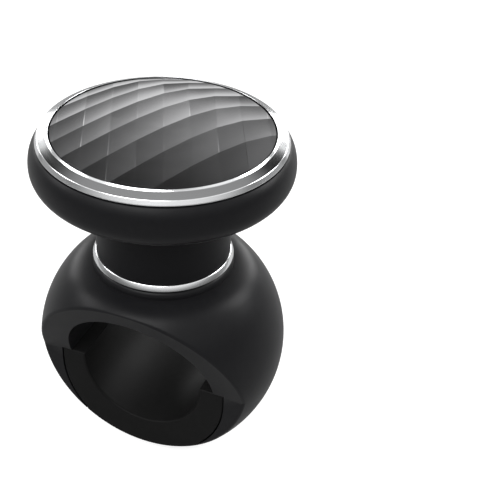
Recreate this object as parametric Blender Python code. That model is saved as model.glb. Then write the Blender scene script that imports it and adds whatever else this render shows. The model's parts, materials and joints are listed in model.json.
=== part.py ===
# Steering wheel spinner knob, at real size in metres, +Z up.
# The knob turns about +Z, the wheel rim runs along Y through the bore, and -Y is the front.
# The origin is the middle of the flat under the jaw, on which the part rests.

import math

import bmesh
import bpy
from mathutils import Matrix, Vector

# Clearances
SEAT_GAP = 0.0003          # between pieces that are seated on or in each other
RUN_GAP = 0.0003           # between the turning neck and the collar below it
JAW_GAP = 0.0004           # between the jaw and its slot

# Ball housing
BALL_RADIUS = 0.0253
REST_FLAT_RADIUS = 0.006688  # where the resting flat cuts the ball
COLLAR_RADIUS = 0.0140
COLLAR_SINK = 0.00057      # collar top below the ball's own surface
COLLAR_HEIGHT = 0.0016
LIP_ROUND = 0.0011
VALLEY_RADIUS = 0.0195     # where the dished valley runs out into the ball
VALLEY_EASE = 0.45         # how far the valley's curve follows its end directions
VALLEY_FALL = 0.12         # slope of the valley at the collar's foot
VALLEY_STEPS = 6
LIP_STEPS = 4
EDGE_CHAMFER = 0.0004

# Saddle faces, front and back
SADDLE_DEPTH = 0.0145      # how deep each lower flat cuts into the ball
LEAN_ANGLE = math.radians(20.5)

# Bore and jaw
ARCH_WALL = 0.0093         # ball radius over arch radius
ARCH_DROP = 0.00225        # arch centre below the ball centre
SHOULDER_WIDTH = 0.0019    # how far the jaw's seat steps out past the arch
JAW_WALL = 0.0049
JAW_BORE_DROP = 0.0032
JAW_TOP_DROP = 0.0031
JAW_ROUND_DROP = 0.0057    # where the jaw's sides start to curve in
HOOK_REACH = 0.0049        # how far each arm hooks in below the jaw
JAW_CHAMFER = 0.00035
JAW_BORE_STEPS = 26
JAW_SIDE_STEPS = 6
JAW_LIP_THICKNESS = 0.0013  # lip at the jaw's back end, which stops against the housing
JAW_LIP_REACH = 0.0012
JAW_LIP_TOP_DROP = 0.0004  # lip's ends below the jaw's own ends

# Rubber pad in the bore's ceiling
PAD_THICKNESS = 0.0007
PAD_HALF_WIDTH = 0.0105
PAD_HALF_LENGTH = 0.0095

# Spindle and its stack
SPINDLE_DIAMETER = 0.0080
HEAD_ACROSS_FLATS = 0.0120
HEAD_THICKNESS = 0.0018
SPACER_HEIGHT = 0.0029
SPACER_WALL = 0.0019
WASHER_THICKNESS = 0.0008
WASHER_WALL = 0.0026
NUT_ACROSS_FLATS = 0.0130
NUT_HEIGHT = 0.0040
NUT_CORNER_FALL = 0.6      # fall of the nut's turned corners over their reach
NUT_FACE_ROUND = 0.97      # round face of the nut over its distance across flats
THREAD_STAND_OUT = 0.0012
THREAD_CHAMFER = 0.0006

# Ball bearing
BEARING_OUTER_DIAMETER = 0.0220
BEARING_WIDTH = 0.0070
BEARING_BALL_DIAMETER = 0.00397
BEARING_BALL_COUNT = 7
RACE_LAND_STEP = 0.0015    # radial distance from the balls' pitch circle to each land
RACE_CHAMFER = 0.0003
CAGE_THICKNESS = 0.0012
CAGE_RIM = 0.0005          # cage metal above and below a ball's pocket
CAGE_STEPS_PER_BALL = 4

# Neck
NECK_RADIUS = 0.01325
NECK_LENGTH = 0.0152
NECK_RING_HEIGHT = 0.0012
NECK_RING_FLARE = 0.00035
NECK_RING_PROUD = 0.0001
NECK_RING_SOFT = 0.00015
NECK_RING_TOP_GAP = 0.0001
NECK_FOOT_LIFT = 0.00012   # sleeve's foot above the ring's foot
NECK_LEAD = 0.0003         # lead-in chamfers of the sleeve
SPIGOT_STEP = 0.00095      # how far the neck steps in behind its ring
RACE_SHOULDER_REACH = 0.0014
RACE_SHOULDER_THICKNESS = 0.0022
CIRCLIP_THICKNESS = 0.0011
CIRCLIP_WIDTH = 0.0018
CIRCLIP_GROOVE_DEPTH = 0.0009
CIRCLIP_OPENING = math.radians(34)
CIRCLIP_STEPS = 28
CIRCLIP_EYE_STEPS = 2      # steps at each end that are as wide as the eyes
CIRCLIP_EYE_WIDTH = 0.0029
FLANGE_REACH = 0.0045
FLANGE_THICKNESS = 0.0015

# Sleeve screws
SLEEVE_SCREW_COUNT = 3
SLEEVE_SCREW_DIAMETER = 0.0025
SLEEVE_SCREW_HEAD_DIAMETER = 0.0044
SLEEVE_SCREW_HEAD_HEIGHT = 0.0011
SLEEVE_SCREW_BITE = 0.0011
SLEEVE_SCREW_CROWN = 0.0004
CROSS_REACH = 0.0013
CROSS_HALF_WIDTH = 0.0003
CROSS_DEPTH = 0.0008

# Knob shell
RIM_REACH = 0.0015         # rim outside the trim ring
RIM_ROUND = 0.0048
RIM_DROP = 0.00425         # widest ring of the rim below the shell's top
RIM_SHOULDER_IN = 0.0006   # guide point of the curve between the trim and the rim
RIM_SHOULDER_DOWN = 0.0009
RIM_EASE = 0.45
RIM_STEP = 0.00005         # shell's mouth edge outside the trim ring
RIM_UPPER_STEPS = 5
RIM_LOWER_STEPS = 8
SHELL_WALL = 0.0022
SHELL_FILLET = 0.0012
LEDGE_WIDTH = 0.0010
HEAD_ROOM = 0.0004         # between the sleeve screws' heads and the plate above them

# Trim ring and disc
TRIM_REACH = 0.0028        # trim ring outside the disc
TRIM_EDGE_DROP = 0.00165   # trim ring's outer edge below the disc's face
TRIM_LIP_RISE = 0.0002
TRIM_LIP_WIDTH = 0.0005
TRIM_BAND_WIDTH = 0.0012
TRIM_BAND_FALL = 0.00055
TRIM_SKIRT_WALL = 0.0009
TRIM_SOFT = 0.00012
DISC_RADIUS = 0.0207
DISC_THICKNESS = 0.0016
PAD_FOAM_THICKNESS = 0.0012
CARRIER_THICKNESS = 0.0016
CARRIER_RIB_HEIGHT = 0.0020
CARRIER_RING_WALL = 0.0012
CARRIER_RIB_WIDTH = 0.0012
CARRIER_RIB_COUNT = 6
CARRIER_BOSS_RADIUS = 0.0045

# Facets of the disc
FACET_RELIEF = 0.00016
FACET_TWIST = 0.00005      # facet corners dip by up to this, in a wave over columns and bands
FACET_COLUMN_WAVE = 2.1
FACET_BAND_WAVE = 1.3
FACET_STEP = 0.00005       # plan width of the step behind each band
FACET_COLUMN = 0.0049
FACET_COLUMN_COUNT = 10
FACET_BAND_COUNT = 10
FACET_CREST_X = -0.0039    # crest of the farthest band's curve, in plan
FACET_CREST_STEP = 0.0039  # from one band's crest to the next, across
FACET_CREST_FALL = 0.000455  # fall of a crest towards the front, times its number squared
FACET_CURVE_WIDTH = 0.0166
FACET_CURVE_DROP = 0.0230
FACET_TURN = math.radians(25.3)

# Set screws that lock the jaw
SET_SCREW_DIAMETER = 0.0050
SET_SCREW_LENGTH = 0.0040
SET_SCREW_KEY = 0.0025     # across the flats of the hex socket
SET_SCREW_KEY_DEPTH = 0.0021
SET_SCREW_SLOPE = math.radians(24)
INSERT_WALL = 0.00075
INSERT_LENGTH = 0.0030
INSERT_BORE_GAP = 0.00025
INSERT_LEDGE = 0.0005
INSERT_HOLE_IN = 0.0020    # the hole's cutter runs this far into the bore
INSERT_HOLE_OUT = 0.0120
SET_SCREW_TIP = 0.70       # tip of the screw over its diameter
SET_SCREW_CHAMFER = 0.0003

# Facet counts of round pieces
BALL_SEGMENTS = 56
KNOB_SEGMENTS = 56
NECK_SEGMENTS = 36
SMALL_SEGMENTS = 20
SCREW_SEGMENTS = 16
HOLE_SEGMENTS = 10
ARC_STEP = math.radians(7.5)
GROOVE_STEP = math.radians(30)

# Worked-out places, measured up from the ball centre
REST_DEPTH = math.sqrt(BALL_RADIUS**2 - REST_FLAT_RADIUS**2)
FLAT_HALF = BALL_RADIUS - SADDLE_DEPTH
ARCH_RADIUS = BALL_RADIUS - ARCH_WALL
SPINDLE_RADIUS = SPINDLE_DIAMETER / 2
COLLAR_TOP = math.sqrt(BALL_RADIUS**2 - COLLAR_RADIUS**2) - COLLAR_SINK
JAW_BACK = FLAT_HALF + SEAT_GAP + JAW_LIP_THICKNESS
JAW_OUTER_RADIUS = ARCH_RADIUS + SHOULDER_WIDTH
JAW_BORE_RADIUS = JAW_OUTER_RADIUS - JAW_WALL
MOUTH_HALF = JAW_OUTER_RADIUS - HOOK_REACH
PAD_RECESS_RADIUS = ARCH_RADIUS + PAD_THICKNESS + SEAT_GAP
HEAD_BOTTOM = PAD_RECESS_RADIUS - ARCH_DROP + SEAT_GAP
HEAD_TOP = HEAD_BOTTOM + HEAD_THICKNESS
SPACER_BOTTOM = COLLAR_TOP + SEAT_GAP
RACE_BOTTOM = SPACER_BOTTOM + SPACER_HEIGHT + SEAT_GAP
RACE_TOP = RACE_BOTTOM + BEARING_WIDTH
WASHER_BOTTOM = RACE_TOP + SEAT_GAP
NUT_BOTTOM = WASHER_BOTTOM + WASHER_THICKNESS + SEAT_GAP
SPINDLE_TOP = NUT_BOTTOM + NUT_HEIGHT + THREAD_STAND_OUT
RING_BOTTOM = COLLAR_TOP + RUN_GAP
RING_TOP = RING_BOTTOM + NECK_RING_HEIGHT
SHELL_BOTTOM = RING_TOP + NECK_LENGTH
FLOOR_TOP = SHELL_BOTTOM + SHELL_WALL
FLANGE_BOTTOM = FLOOR_TOP + SEAT_GAP
FLANGE_TOP = FLANGE_BOTTOM + FLANGE_THICKNESS
CARRIER_BOTTOM = FLANGE_TOP + SEAT_GAP + SLEEVE_SCREW_HEAD_HEIGHT + HEAD_ROOM
CARRIER_TOP = CARRIER_BOTTOM + CARRIER_THICKNESS
LEDGE_TOP = CARRIER_BOTTOM - SEAT_GAP
FOAM_BOTTOM = CARRIER_TOP + SEAT_GAP
FOAM_TOP = FOAM_BOTTOM + PAD_FOAM_THICKNESS
DISC_BACK = FOAM_TOP + SEAT_GAP
DISC_FACE = DISC_BACK + DISC_THICKNESS
TRIM_EDGE = DISC_FACE - TRIM_EDGE_DROP
SHELL_TOP = TRIM_EDGE - SEAT_GAP

# Worked-out radii
BEARING_RADIUS = BEARING_OUTER_DIAMETER / 2
RACE_BORE = SPINDLE_RADIUS + SEAT_GAP
PITCH_RADIUS = (SPINDLE_RADIUS + BEARING_RADIUS) / 2
BEARING_BALL_RADIUS = BEARING_BALL_DIAMETER / 2
GROOVE_RADIUS = BEARING_BALL_RADIUS + SEAT_GAP
BEARING_POCKET = BEARING_RADIUS + SEAT_GAP
SHOULDER_BORE = BEARING_POCKET - RACE_SHOULDER_REACH - SEAT_GAP
FLANGE_RADIUS = NECK_RADIUS + FLANGE_REACH
TRIM_RADIUS = DISC_RADIUS + TRIM_REACH
RIM_RADIUS = TRIM_RADIUS + RIM_REACH
TRIM_BORE = DISC_RADIUS + SEAT_GAP
SKIRT_RADIUS = TRIM_BORE + TRIM_SKIRT_WALL
SHELL_MOUTH = SKIRT_RADIUS + SEAT_GAP
SHELL_BORE = SHELL_MOUTH - LEDGE_WIDTH
SCREW_CIRCLE = NECK_RADIUS + FLANGE_REACH / 2
INSERT_BORE = SET_SCREW_DIAMETER / 2 + INSERT_BORE_GAP
INSERT_RADIUS = INSERT_BORE + INSERT_WALL

CUT_REACH = 2.4 * BALL_RADIUS  # how far a cutter runs past the part
TOOL_REACH = 0.001         # how far a small cutter runs past its face
TOOL_GAP = 0.00001         # keeps two cutting faces out of one plane


# Scene and materials

def clear_scene():
    for obj in list(bpy.data.objects):
        bpy.data.objects.remove(obj, do_unlink=True)


def make_material(name, color, roughness, metallic=0.0):
    material = bpy.data.materials.new(name)
    material.use_nodes = True
    shader = material.node_tree.nodes["Principled BSDF"]
    shader.inputs["Base Color"].default_value = (*color, 1.0)
    shader.inputs["Roughness"].default_value = roughness
    shader.inputs["Metallic"].default_value = metallic
    material.diffuse_color = (*color, 1.0)
    return material


def make_materials():
    return {
        "housing": make_material("satin_black_housing", (0.018, 0.018, 0.020), 0.42),
        "jaw": make_material("jaw_black", (0.014, 0.014, 0.015), 0.50),
        "shell": make_material("satin_black_shell", (0.020, 0.020, 0.022), 0.40),
        "neck": make_material("neck_black", (0.016, 0.016, 0.018), 0.45),
        "trim": make_material("bright_trim", (0.80, 0.81, 0.83), 0.15, 1.0),
        "disc": make_material("smoked_disc", (0.10, 0.10, 0.11), 0.20),
        "foam": make_material("foam_tape", (0.05, 0.05, 0.05), 0.90),
        "carrier": make_material("carrier_plastic", (0.03, 0.03, 0.03), 0.60),
        "rubber": make_material("grip_rubber", (0.022, 0.022, 0.022), 0.85),
        "steel": make_material("plated_steel", (0.55, 0.55, 0.56), 0.30, 1.0),
        "race": make_material("bearing_steel", (0.62, 0.62, 0.64), 0.20, 1.0),
        "black_steel": make_material("blackened_steel", (0.05, 0.05, 0.055), 0.45, 1.0),
        "brass": make_material("insert_brass", (0.62, 0.46, 0.20), 0.35, 1.0),
    }


def add_empty(name, location, parent=None):
    empty = bpy.data.objects.new(name, None)
    empty.location = location
    empty.parent = parent
    bpy.context.scene.collection.objects.link(empty)
    return empty


def add_object(name, bm, material=None, parent=None, matrix=None, smooth=math.radians(35)):
    """Turns a bmesh into an object, with round stretches shaded smooth."""
    bmesh.ops.remove_doubles(bm, verts=bm.verts, dist=1e-7)
    bmesh.ops.recalc_face_normals(bm, faces=bm.faces)
    mesh = bpy.data.meshes.new(name)
    bm.to_mesh(mesh)
    bm.free()
    mesh.shade_smooth()
    mesh.set_sharp_from_angle(angle=smooth)
    obj = bpy.data.objects.new(name, mesh)
    if material:
        mesh.materials.append(material)
    if matrix:
        obj.matrix_local = matrix
    obj.parent = parent
    bpy.context.scene.collection.objects.link(obj)
    return obj


def as_helper(obj):
    obj.hide_render = True
    obj.display_type = "WIRE"
    return obj


def combine(obj, other, operation):
    modifier = obj.modifiers.new(f"{operation.lower()}_{other.name}", "BOOLEAN")
    modifier.operation = operation
    modifier.solver = "EXACT"
    modifier.object = other


# Outlines

def arc(cx, cz, radius, start, end, step=ARC_STEP, count=None):
    """Points of an arc, both ends included. Angles are in radians from +X towards +Z."""
    count = count or max(2, math.ceil(abs(end - start) / step))
    angles = [start + (end - start) * i / count for i in range(count + 1)]
    return [(cx + radius * math.cos(a), cz + radius * math.sin(a)) for a in angles]


def oval_arc(cx, cz, rx, rz, start, end, count):
    angles = [start + (end - start) * i / count for i in range(count + 1)]
    return [(cx + rx * math.cos(a), cz + rz * math.sin(a)) for a in angles]


def bezier(p0, p1, p2, p3, count):
    points = []
    for i in range(count + 1):
        t = i / count
        s = 1 - t
        weights = (s**3, 3 * s * s * t, 3 * s * t * t, t**3)
        points.append(tuple(
            sum(w * p[axis] for w, p in zip(weights, (p0, p1, p2, p3))) for axis in (0, 1)
        ))
    return points


# Solids

def revolve(profile, segments):
    """A turned solid from a closed outline of (radius, z) points."""
    bm = bmesh.new()
    verts = [bm.verts.new((r, 0, z)) for r, z in profile]
    edges = [bm.edges.new((verts[i], verts[(i + 1) % len(verts)])) for i in range(len(verts))]
    bmesh.ops.spin(
        bm, geom=[*edges, *verts], cent=(0, 0, 0), axis=(0, 0, 1), angle=math.tau,
        steps=segments, use_merge=True, use_duplicate=False)
    return bm


def prism(outline, low, high, inset_outline=None, inset=0.0):
    """A solid along Y from an outline of (x, z) points. With an inset outline, both ends are
    chamfered: the inset outline lies on the end faces and the full one starts inset behind."""
    bm = bmesh.new()
    rows = [(outline, low), (outline, high)]
    if inset_outline:
        rows = [(inset_outline, low), (outline, low + inset),
                (outline, high - inset), (inset_outline, high)]
    rings = [[bm.verts.new((x, y, z)) for x, z in points] for points, y in rows]
    for lower, upper in zip(rings, rings[1:]):
        for i in range(len(lower)):
            j = (i + 1) % len(lower)
            bm.faces.new((lower[i], lower[j], upper[j], upper[i]))
    bm.faces.new(rings[0])
    bm.faces.new(list(reversed(rings[-1])))
    return bm


def upright_prism(outline, low, high):
    """A solid along Z from an outline of (x, y) points."""
    bm = bmesh.new()
    rings = [[bm.verts.new((x, y, z)) for x, y in outline] for z in (low, high)]
    for i in range(len(outline)):
        j = (i + 1) % len(outline)
        bm.faces.new((rings[0][i], rings[0][j], rings[1][j], rings[1][i]))
    bm.faces.new(list(reversed(rings[0])))
    bm.faces.new(rings[1])
    return bm


def hex_prism(across_flats, low, high):
    """A hexagon along Z, flats to front and back."""
    corner = across_flats / math.sqrt(3)
    turns = [k * math.pi / 3 for k in range(6)]
    return upright_prism([(corner * math.cos(a), corner * math.sin(a)) for a in turns], low, high)


def cross_prism(arm, half_width, low, high):
    """A plus-shaped solid along Z, for a driver's recess."""
    quarter = [(arm, -half_width), (arm, half_width), (half_width, half_width)]
    outline = []
    for _ in range(4):
        outline += quarter
        quarter = [(-y, x) for x, y in quarter]
    return upright_prism(outline, low, high)


def add_cylinder(bm, radius, depth, matrix):
    bmesh.ops.create_cone(bm, cap_ends=True, segments=HOLE_SEGMENTS, radius1=radius,
                          radius2=radius, depth=depth, matrix=matrix)


def join_meshes(first, *others):
    """Adds the geometry of other bmeshes to the first one."""
    for other in others:
        mesh = bpy.data.meshes.new("joined")
        other.to_mesh(mesh)
        other.free()
        first.from_mesh(mesh)
        bpy.data.meshes.remove(mesh)
    return first


def turned(bm, matrix):
    bmesh.ops.transform(bm, matrix=matrix, verts=bm.verts)
    return bm


# Ball housing

def ball_outline():
    """Lower stretch of the ball, from the valley's edge down to the resting flat."""
    top = math.pi / 2 - math.asin(VALLEY_RADIUS / BALL_RADIUS)
    bottom = -math.asin(REST_DEPTH / BALL_RADIUS)
    return arc(0, 0, BALL_RADIUS, top, bottom)


def valley_outline():
    """The dished valley between the collar's foot and the ball."""
    foot = (COLLAR_RADIUS, COLLAR_TOP - COLLAR_HEIGHT)
    end = ball_outline()[0]
    reach = (end[0] - foot[0]) * VALLEY_EASE
    fall = end[0] / end[1]
    length = math.hypot(1, fall)
    early = (foot[0] + reach, foot[1] - reach * VALLEY_FALL)
    late = (end[0] - reach / length, end[1] + reach * fall / length)
    return bezier(foot, early, late, end, VALLEY_STEPS)


def housing_outline():
    lip = arc(COLLAR_RADIUS - LIP_ROUND, COLLAR_TOP - LIP_ROUND, LIP_ROUND, math.pi / 2, 0,
              count=LIP_STEPS)
    hole = SPINDLE_RADIUS + SEAT_GAP
    return [(hole, COLLAR_TOP), *lip, *valley_outline(), *ball_outline()[1:], (hole, -REST_DEPTH)]


def solid_ball_outline():
    """The whole ball down to its flat, closed on the axis, to shape the jaw."""
    bottom = -math.asin(REST_DEPTH / BALL_RADIUS)
    return [*arc(0, 0, BALL_RADIUS, math.pi / 2, bottom), (0, -REST_DEPTH)]


def saddle_cutter():
    """Removes everything in front of the front face and behind the back face."""
    crease = -JAW_TOP_DROP
    lean = CUT_REACH * math.tan(LEAN_ANGLE)
    # The outline is drawn as (y, z), so each prism along Y is turned to run along X.
    side = [(-FLAT_HALF, -CUT_REACH), (-FLAT_HALF, crease), (-FLAT_HALF - lean, crease + CUT_REACH),
            (-2 * CUT_REACH, crease + CUT_REACH), (-2 * CUT_REACH, -CUT_REACH)]
    return join_meshes(*(
        turned(prism(side, -CUT_REACH, CUT_REACH), Matrix.Rotation(math.radians(angle), 4, "Z"))
        for angle in (90, -90)
    ))


def edge_cutter(distance, normal, above):
    """A ring that chamfers the edge where a plane at this distance from the ball's centre meets
    the ball, kept only above or only below the crease between the faces."""
    edge = math.acos(distance / BALL_RADIUS)
    on_plane = Vector((BALL_RADIUS * math.sin(edge) - EDGE_CHAMFER, distance))
    turn = edge + EDGE_CHAMFER / BALL_RADIUS
    on_ball = Vector((BALL_RADIUS * math.sin(turn), BALL_RADIUS * math.cos(turn)))
    run = (on_ball - on_plane) * 2
    corner = Vector((on_ball.x + run.x + EDGE_CHAMFER, on_plane.y - run.y + EDGE_CHAMFER))
    ring = revolve([tuple(p) for p in (on_plane - run, on_ball + run, corner)], BALL_SEGMENTS)
    turned(ring, Vector((0, 0, 1)).rotation_difference(normal).to_matrix().to_4x4())
    cut = bmesh.ops.bisect_plane(
        ring, geom=[*ring.verts, *ring.edges, *ring.faces], plane_co=(0, 0, -JAW_TOP_DROP),
        plane_no=(0, 0, -1 if above else 1), clear_outer=True)["geom_cut"]
    bmesh.ops.holes_fill(ring, edges=[e for e in cut if isinstance(e, bmesh.types.BMEdge)])
    return ring


def upper_edge_cutter():
    """Chamfers the leaning faces' round upper edges, front and back."""
    distance = (FLAT_HALF + JAW_TOP_DROP * math.tan(LEAN_ANGLE)) * math.cos(LEAN_ANGLE)
    return join_meshes(*(
        edge_cutter(distance, Vector((0, side * math.cos(LEAN_ANGLE), -math.sin(LEAN_ANGLE))), True)
        for side in (-1, 1)
    ))


def lower_edge_cutter(front, back):
    """Chamfers the round edges of two upright faces at these distances, below the crease."""
    return join_meshes(edge_cutter(front, Vector((0, -1, 0)), False),
                       edge_cutter(back, Vector((0, 1, 0)), False))


def bore_outline():
    """Arch above, stepped seat for the jaw below, and the open mouth between the hooks."""
    shoulder = -JAW_TOP_DROP + JAW_GAP
    start = math.asin((shoulder + ARCH_DROP) / ARCH_RADIUS)
    arch = arc(0, -ARCH_DROP, ARCH_RADIUS, start, math.pi - start)
    slot = JAW_OUTER_RADIUS + JAW_GAP
    mouth = MOUTH_HALF + JAW_GAP
    hook = math.acos(mouth / slot)
    left = [(-slot, shoulder), *arc(0, -JAW_ROUND_DROP, slot, math.pi, math.pi + hook),
            (-mouth, -CUT_REACH)]
    right = [(-x, z) for x, z in reversed(left)]
    return [*arch, *left, *right]


def pad_outline(inner, outer, half_width):
    """A strip of the arch's ceiling between two radii, symmetric about the middle."""
    reach_in = math.asin(half_width / inner)
    reach_out = math.asin(half_width / outer)
    middle = math.pi / 2
    upper = arc(0, -ARCH_DROP, outer, middle - reach_out, middle + reach_out)
    lower = arc(0, -ARCH_DROP, inner, middle + reach_in, middle - reach_in)
    return [*upper, *lower]


def screw_frame(side):
    """Set screw axis on this side: local Z points out of the housing, origin at the jaw's seat."""
    out = Vector((side * math.cos(SET_SCREW_SLOPE), 0, -math.sin(SET_SCREW_SLOPE)))
    across = Vector((0, 1, 0))
    frame = Matrix((across.cross(out), across, out)).transposed().to_4x4()
    centre = Vector((0, 0, REST_DEPTH - JAW_ROUND_DROP))
    frame.translation = centre + out * (JAW_OUTER_RADIUS + JAW_GAP)
    return frame


def insert_hole():
    ledge = INSERT_LEDGE
    wide = INSERT_RADIUS + SEAT_GAP
    profile = [(0, -INSERT_HOLE_IN), (INSERT_BORE, -INSERT_HOLE_IN), (INSERT_BORE, ledge),
               (wide, ledge), (wide, INSERT_HOLE_OUT), (0, INSERT_HOLE_OUT)]
    return revolve(profile, SMALL_SEGMENTS)


def build_housing(materials, root):
    recess = pad_outline(ARCH_RADIUS - 2 * PAD_THICKNESS, PAD_RECESS_RADIUS,
                         PAD_HALF_WIDTH + SEAT_GAP)
    recess_half = PAD_HALF_LENGTH + SEAT_GAP
    cutters = {
        "saddle_cutter": saddle_cutter(),
        "upper_edge_cutter": upper_edge_cutter(),
        "lower_edge_cutter": lower_edge_cutter(FLAT_HALF, FLAT_HALF),
        "bore_cutter": prism(bore_outline(), -CUT_REACH, CUT_REACH),
        "pad_recess_cutter": prism(recess, -recess_half, recess_half),
        "head_recess_cutter": hex_prism(HEAD_ACROSS_FLATS + 2 * SEAT_GAP, 0, HEAD_TOP + SEAT_GAP),
    }
    body = add_object("base_housing", revolve(housing_outline(), BALL_SEGMENTS),
                      materials["housing"], root)
    for name, bm in cutters.items():
        combine(body, as_helper(add_object(name, bm, None, root)), "DIFFERENCE")
    for side, word in ((-1, "left"), (1, "right")):
        hole = add_object(f"insert_hole_{word}", insert_hole(), None, None, screw_frame(side))
        combine(body, as_helper(hole), "DIFFERENCE")


def build_crown_pad(materials, root):
    outline = pad_outline(ARCH_RADIUS, ARCH_RADIUS + PAD_THICKNESS, PAD_HALF_WIDTH)
    add_object("crown_pad", prism(outline, -PAD_HALF_LENGTH, PAD_HALF_LENGTH),
               materials["rubber"], root)


# Jaw

def u_outline(top, bore, outer, mouth):
    """A U seen from the front: ends at this height, hooked in to the mouth's half width."""
    start = math.asin((top + JAW_BORE_DROP) / bore)
    inner = arc(0, -JAW_BORE_DROP, bore, start, -math.pi - start, count=JAW_BORE_STEPS)
    hook = math.acos(mouth / outer)
    side = arc(0, -JAW_ROUND_DROP, outer, math.pi, math.pi + hook, count=JAW_SIDE_STEPS)
    left = [(-outer, top), *side, (-mouth, -CUT_REACH)]
    right = [(-x, z) for x, z in reversed(left)]
    return [*inner, *left, *right]


def jaw_outline(offset):
    """The jaw from the front, shrunk all round by an offset."""
    return u_outline(-JAW_TOP_DROP - offset, JAW_BORE_RADIUS + offset, JAW_OUTER_RADIUS - offset,
                     MOUTH_HALF - offset)


def build_jaw(materials, jaw_frame):
    bm = prism(jaw_outline(0), -FLAT_HALF, JAW_BACK, jaw_outline(JAW_CHAMFER), JAW_CHAMFER)
    jaw = add_object("clamp_jaw", bm, materials["jaw"], jaw_frame)
    lip = u_outline(-JAW_TOP_DROP - JAW_LIP_TOP_DROP, JAW_BORE_RADIUS + JAW_WALL / 2,
                    JAW_OUTER_RADIUS + JAW_LIP_REACH, MOUTH_HALF + JAW_LIP_REACH)
    lip_form = add_object("jaw_lip", prism(lip, FLAT_HALF + SEAT_GAP, JAW_BACK - JAW_CHAMFER), None,
                          jaw_frame)
    combine(jaw, as_helper(lip_form), "UNION")
    ball = add_object("ball_form", revolve(solid_ball_outline(), BALL_SEGMENTS), None, jaw_frame)
    combine(jaw, as_helper(ball), "INTERSECT")
    edge = add_object("jaw_edge_cutter", lower_edge_cutter(FLAT_HALF, JAW_BACK), None, jaw_frame)
    combine(jaw, as_helper(edge), "DIFFERENCE")


def build_set_screw(side, word, materials):
    frame = screw_frame(side)
    shank = SET_SCREW_DIAMETER / 2
    tip = shank * SET_SCREW_TIP
    end = SET_SCREW_LENGTH
    profile = [(0, 0), (tip, 0), (shank, shank - tip), (shank, end - SET_SCREW_CHAMFER),
               (shank - SET_SCREW_CHAMFER, end), (0, end)]
    screw = add_object(f"set_screw_{word}", revolve(profile, SMALL_SEGMENTS),
                       materials["black_steel"], None, frame)
    key = hex_prism(SET_SCREW_KEY, end - SET_SCREW_KEY_DEPTH, end + TOOL_REACH)
    combine(screw, as_helper(add_object(f"set_screw_socket_{word}", key, None, None, frame)),
            "DIFFERENCE")
    bottom = INSERT_LEDGE + SEAT_GAP
    ring = ring_profile(INSERT_BORE, INSERT_RADIUS, bottom, bottom + INSERT_LENGTH)
    add_object(f"thread_insert_{word}", revolve(ring, SMALL_SEGMENTS), materials["brass"], None,
               frame)


# Spindle and bearing

def build_spindle(materials, root):
    inside_head = HEAD_TOP - HEAD_THICKNESS / 2
    shaft = revolve([(0, inside_head), (SPINDLE_RADIUS, inside_head),
                     (SPINDLE_RADIUS, SPINDLE_TOP - THREAD_CHAMFER),
                     (SPINDLE_RADIUS - THREAD_CHAMFER, SPINDLE_TOP), (0, SPINDLE_TOP)],
                    SMALL_SEGMENTS)
    spindle = add_object("spindle", hex_prism(HEAD_ACROSS_FLATS, HEAD_BOTTOM, HEAD_TOP),
                         materials["steel"], root)
    combine(spindle, as_helper(add_object("spindle_shaft", shaft, None, root)), "UNION")


def ring_profile(inner, outer, low, high):
    return [(inner, low), (outer, low), (outer, high), (inner, high)]


def build_spindle_stack(materials, root):
    inner = SPINDLE_RADIUS + SEAT_GAP
    spacer = ring_profile(inner, inner + SPACER_WALL, SPACER_BOTTOM, SPACER_BOTTOM + SPACER_HEIGHT)
    add_object("bearing_spacer", revolve(spacer, SMALL_SEGMENTS), materials["steel"], root)
    washer = ring_profile(inner, inner + WASHER_WALL, WASHER_BOTTOM,
                          WASHER_BOTTOM + WASHER_THICKNESS)
    add_object("lock_washer", revolve(washer, SMALL_SEGMENTS), materials["steel"], root)
    low = NUT_BOTTOM
    high = NUT_BOTTOM + NUT_HEIGHT
    nut = add_object("spindle_nut", hex_prism(NUT_ACROSS_FLATS, low, high), materials["steel"],
                     root)
    # The nut's corners are turned off to a round, and its thread is a plain hole.
    corner = NUT_ACROSS_FLATS / math.sqrt(3)
    face = NUT_ACROSS_FLATS / 2 * NUT_FACE_ROUND
    fall = (corner - face) * NUT_CORNER_FALL
    blank = revolve([(inner, low - TOOL_REACH), (face, low - TOOL_REACH), (face, low),
                     (corner, low + fall), (corner, high - fall), (face, high),
                     (face, high + TOOL_REACH), (inner, high + TOOL_REACH)], SMALL_SEGMENTS)
    combine(nut, as_helper(add_object("nut_blank", blank, None, root)), "INTERSECT")


def race_profile(plain, land, centre_z):
    """A bearing race: plain cylinder on one side, land with a ball groove on the other."""
    toward = 1 if land > plain else -1
    half = math.acos(abs(PITCH_RADIUS - land) / GROOVE_RADIUS)
    middle = math.pi if land < PITCH_RADIUS else 0.0
    groove = arc(PITCH_RADIUS, centre_z, GROOVE_RADIUS, middle - half, middle + half, GROOVE_STEP)
    groove.sort(key=lambda point: point[1])
    return [(plain, RACE_BOTTOM + RACE_CHAMFER), (plain + toward * RACE_CHAMFER, RACE_BOTTOM),
            (land, RACE_BOTTOM), *groove, (land, RACE_TOP),
            (plain + toward * RACE_CHAMFER, RACE_TOP), (plain, RACE_TOP - RACE_CHAMFER)]


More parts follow.
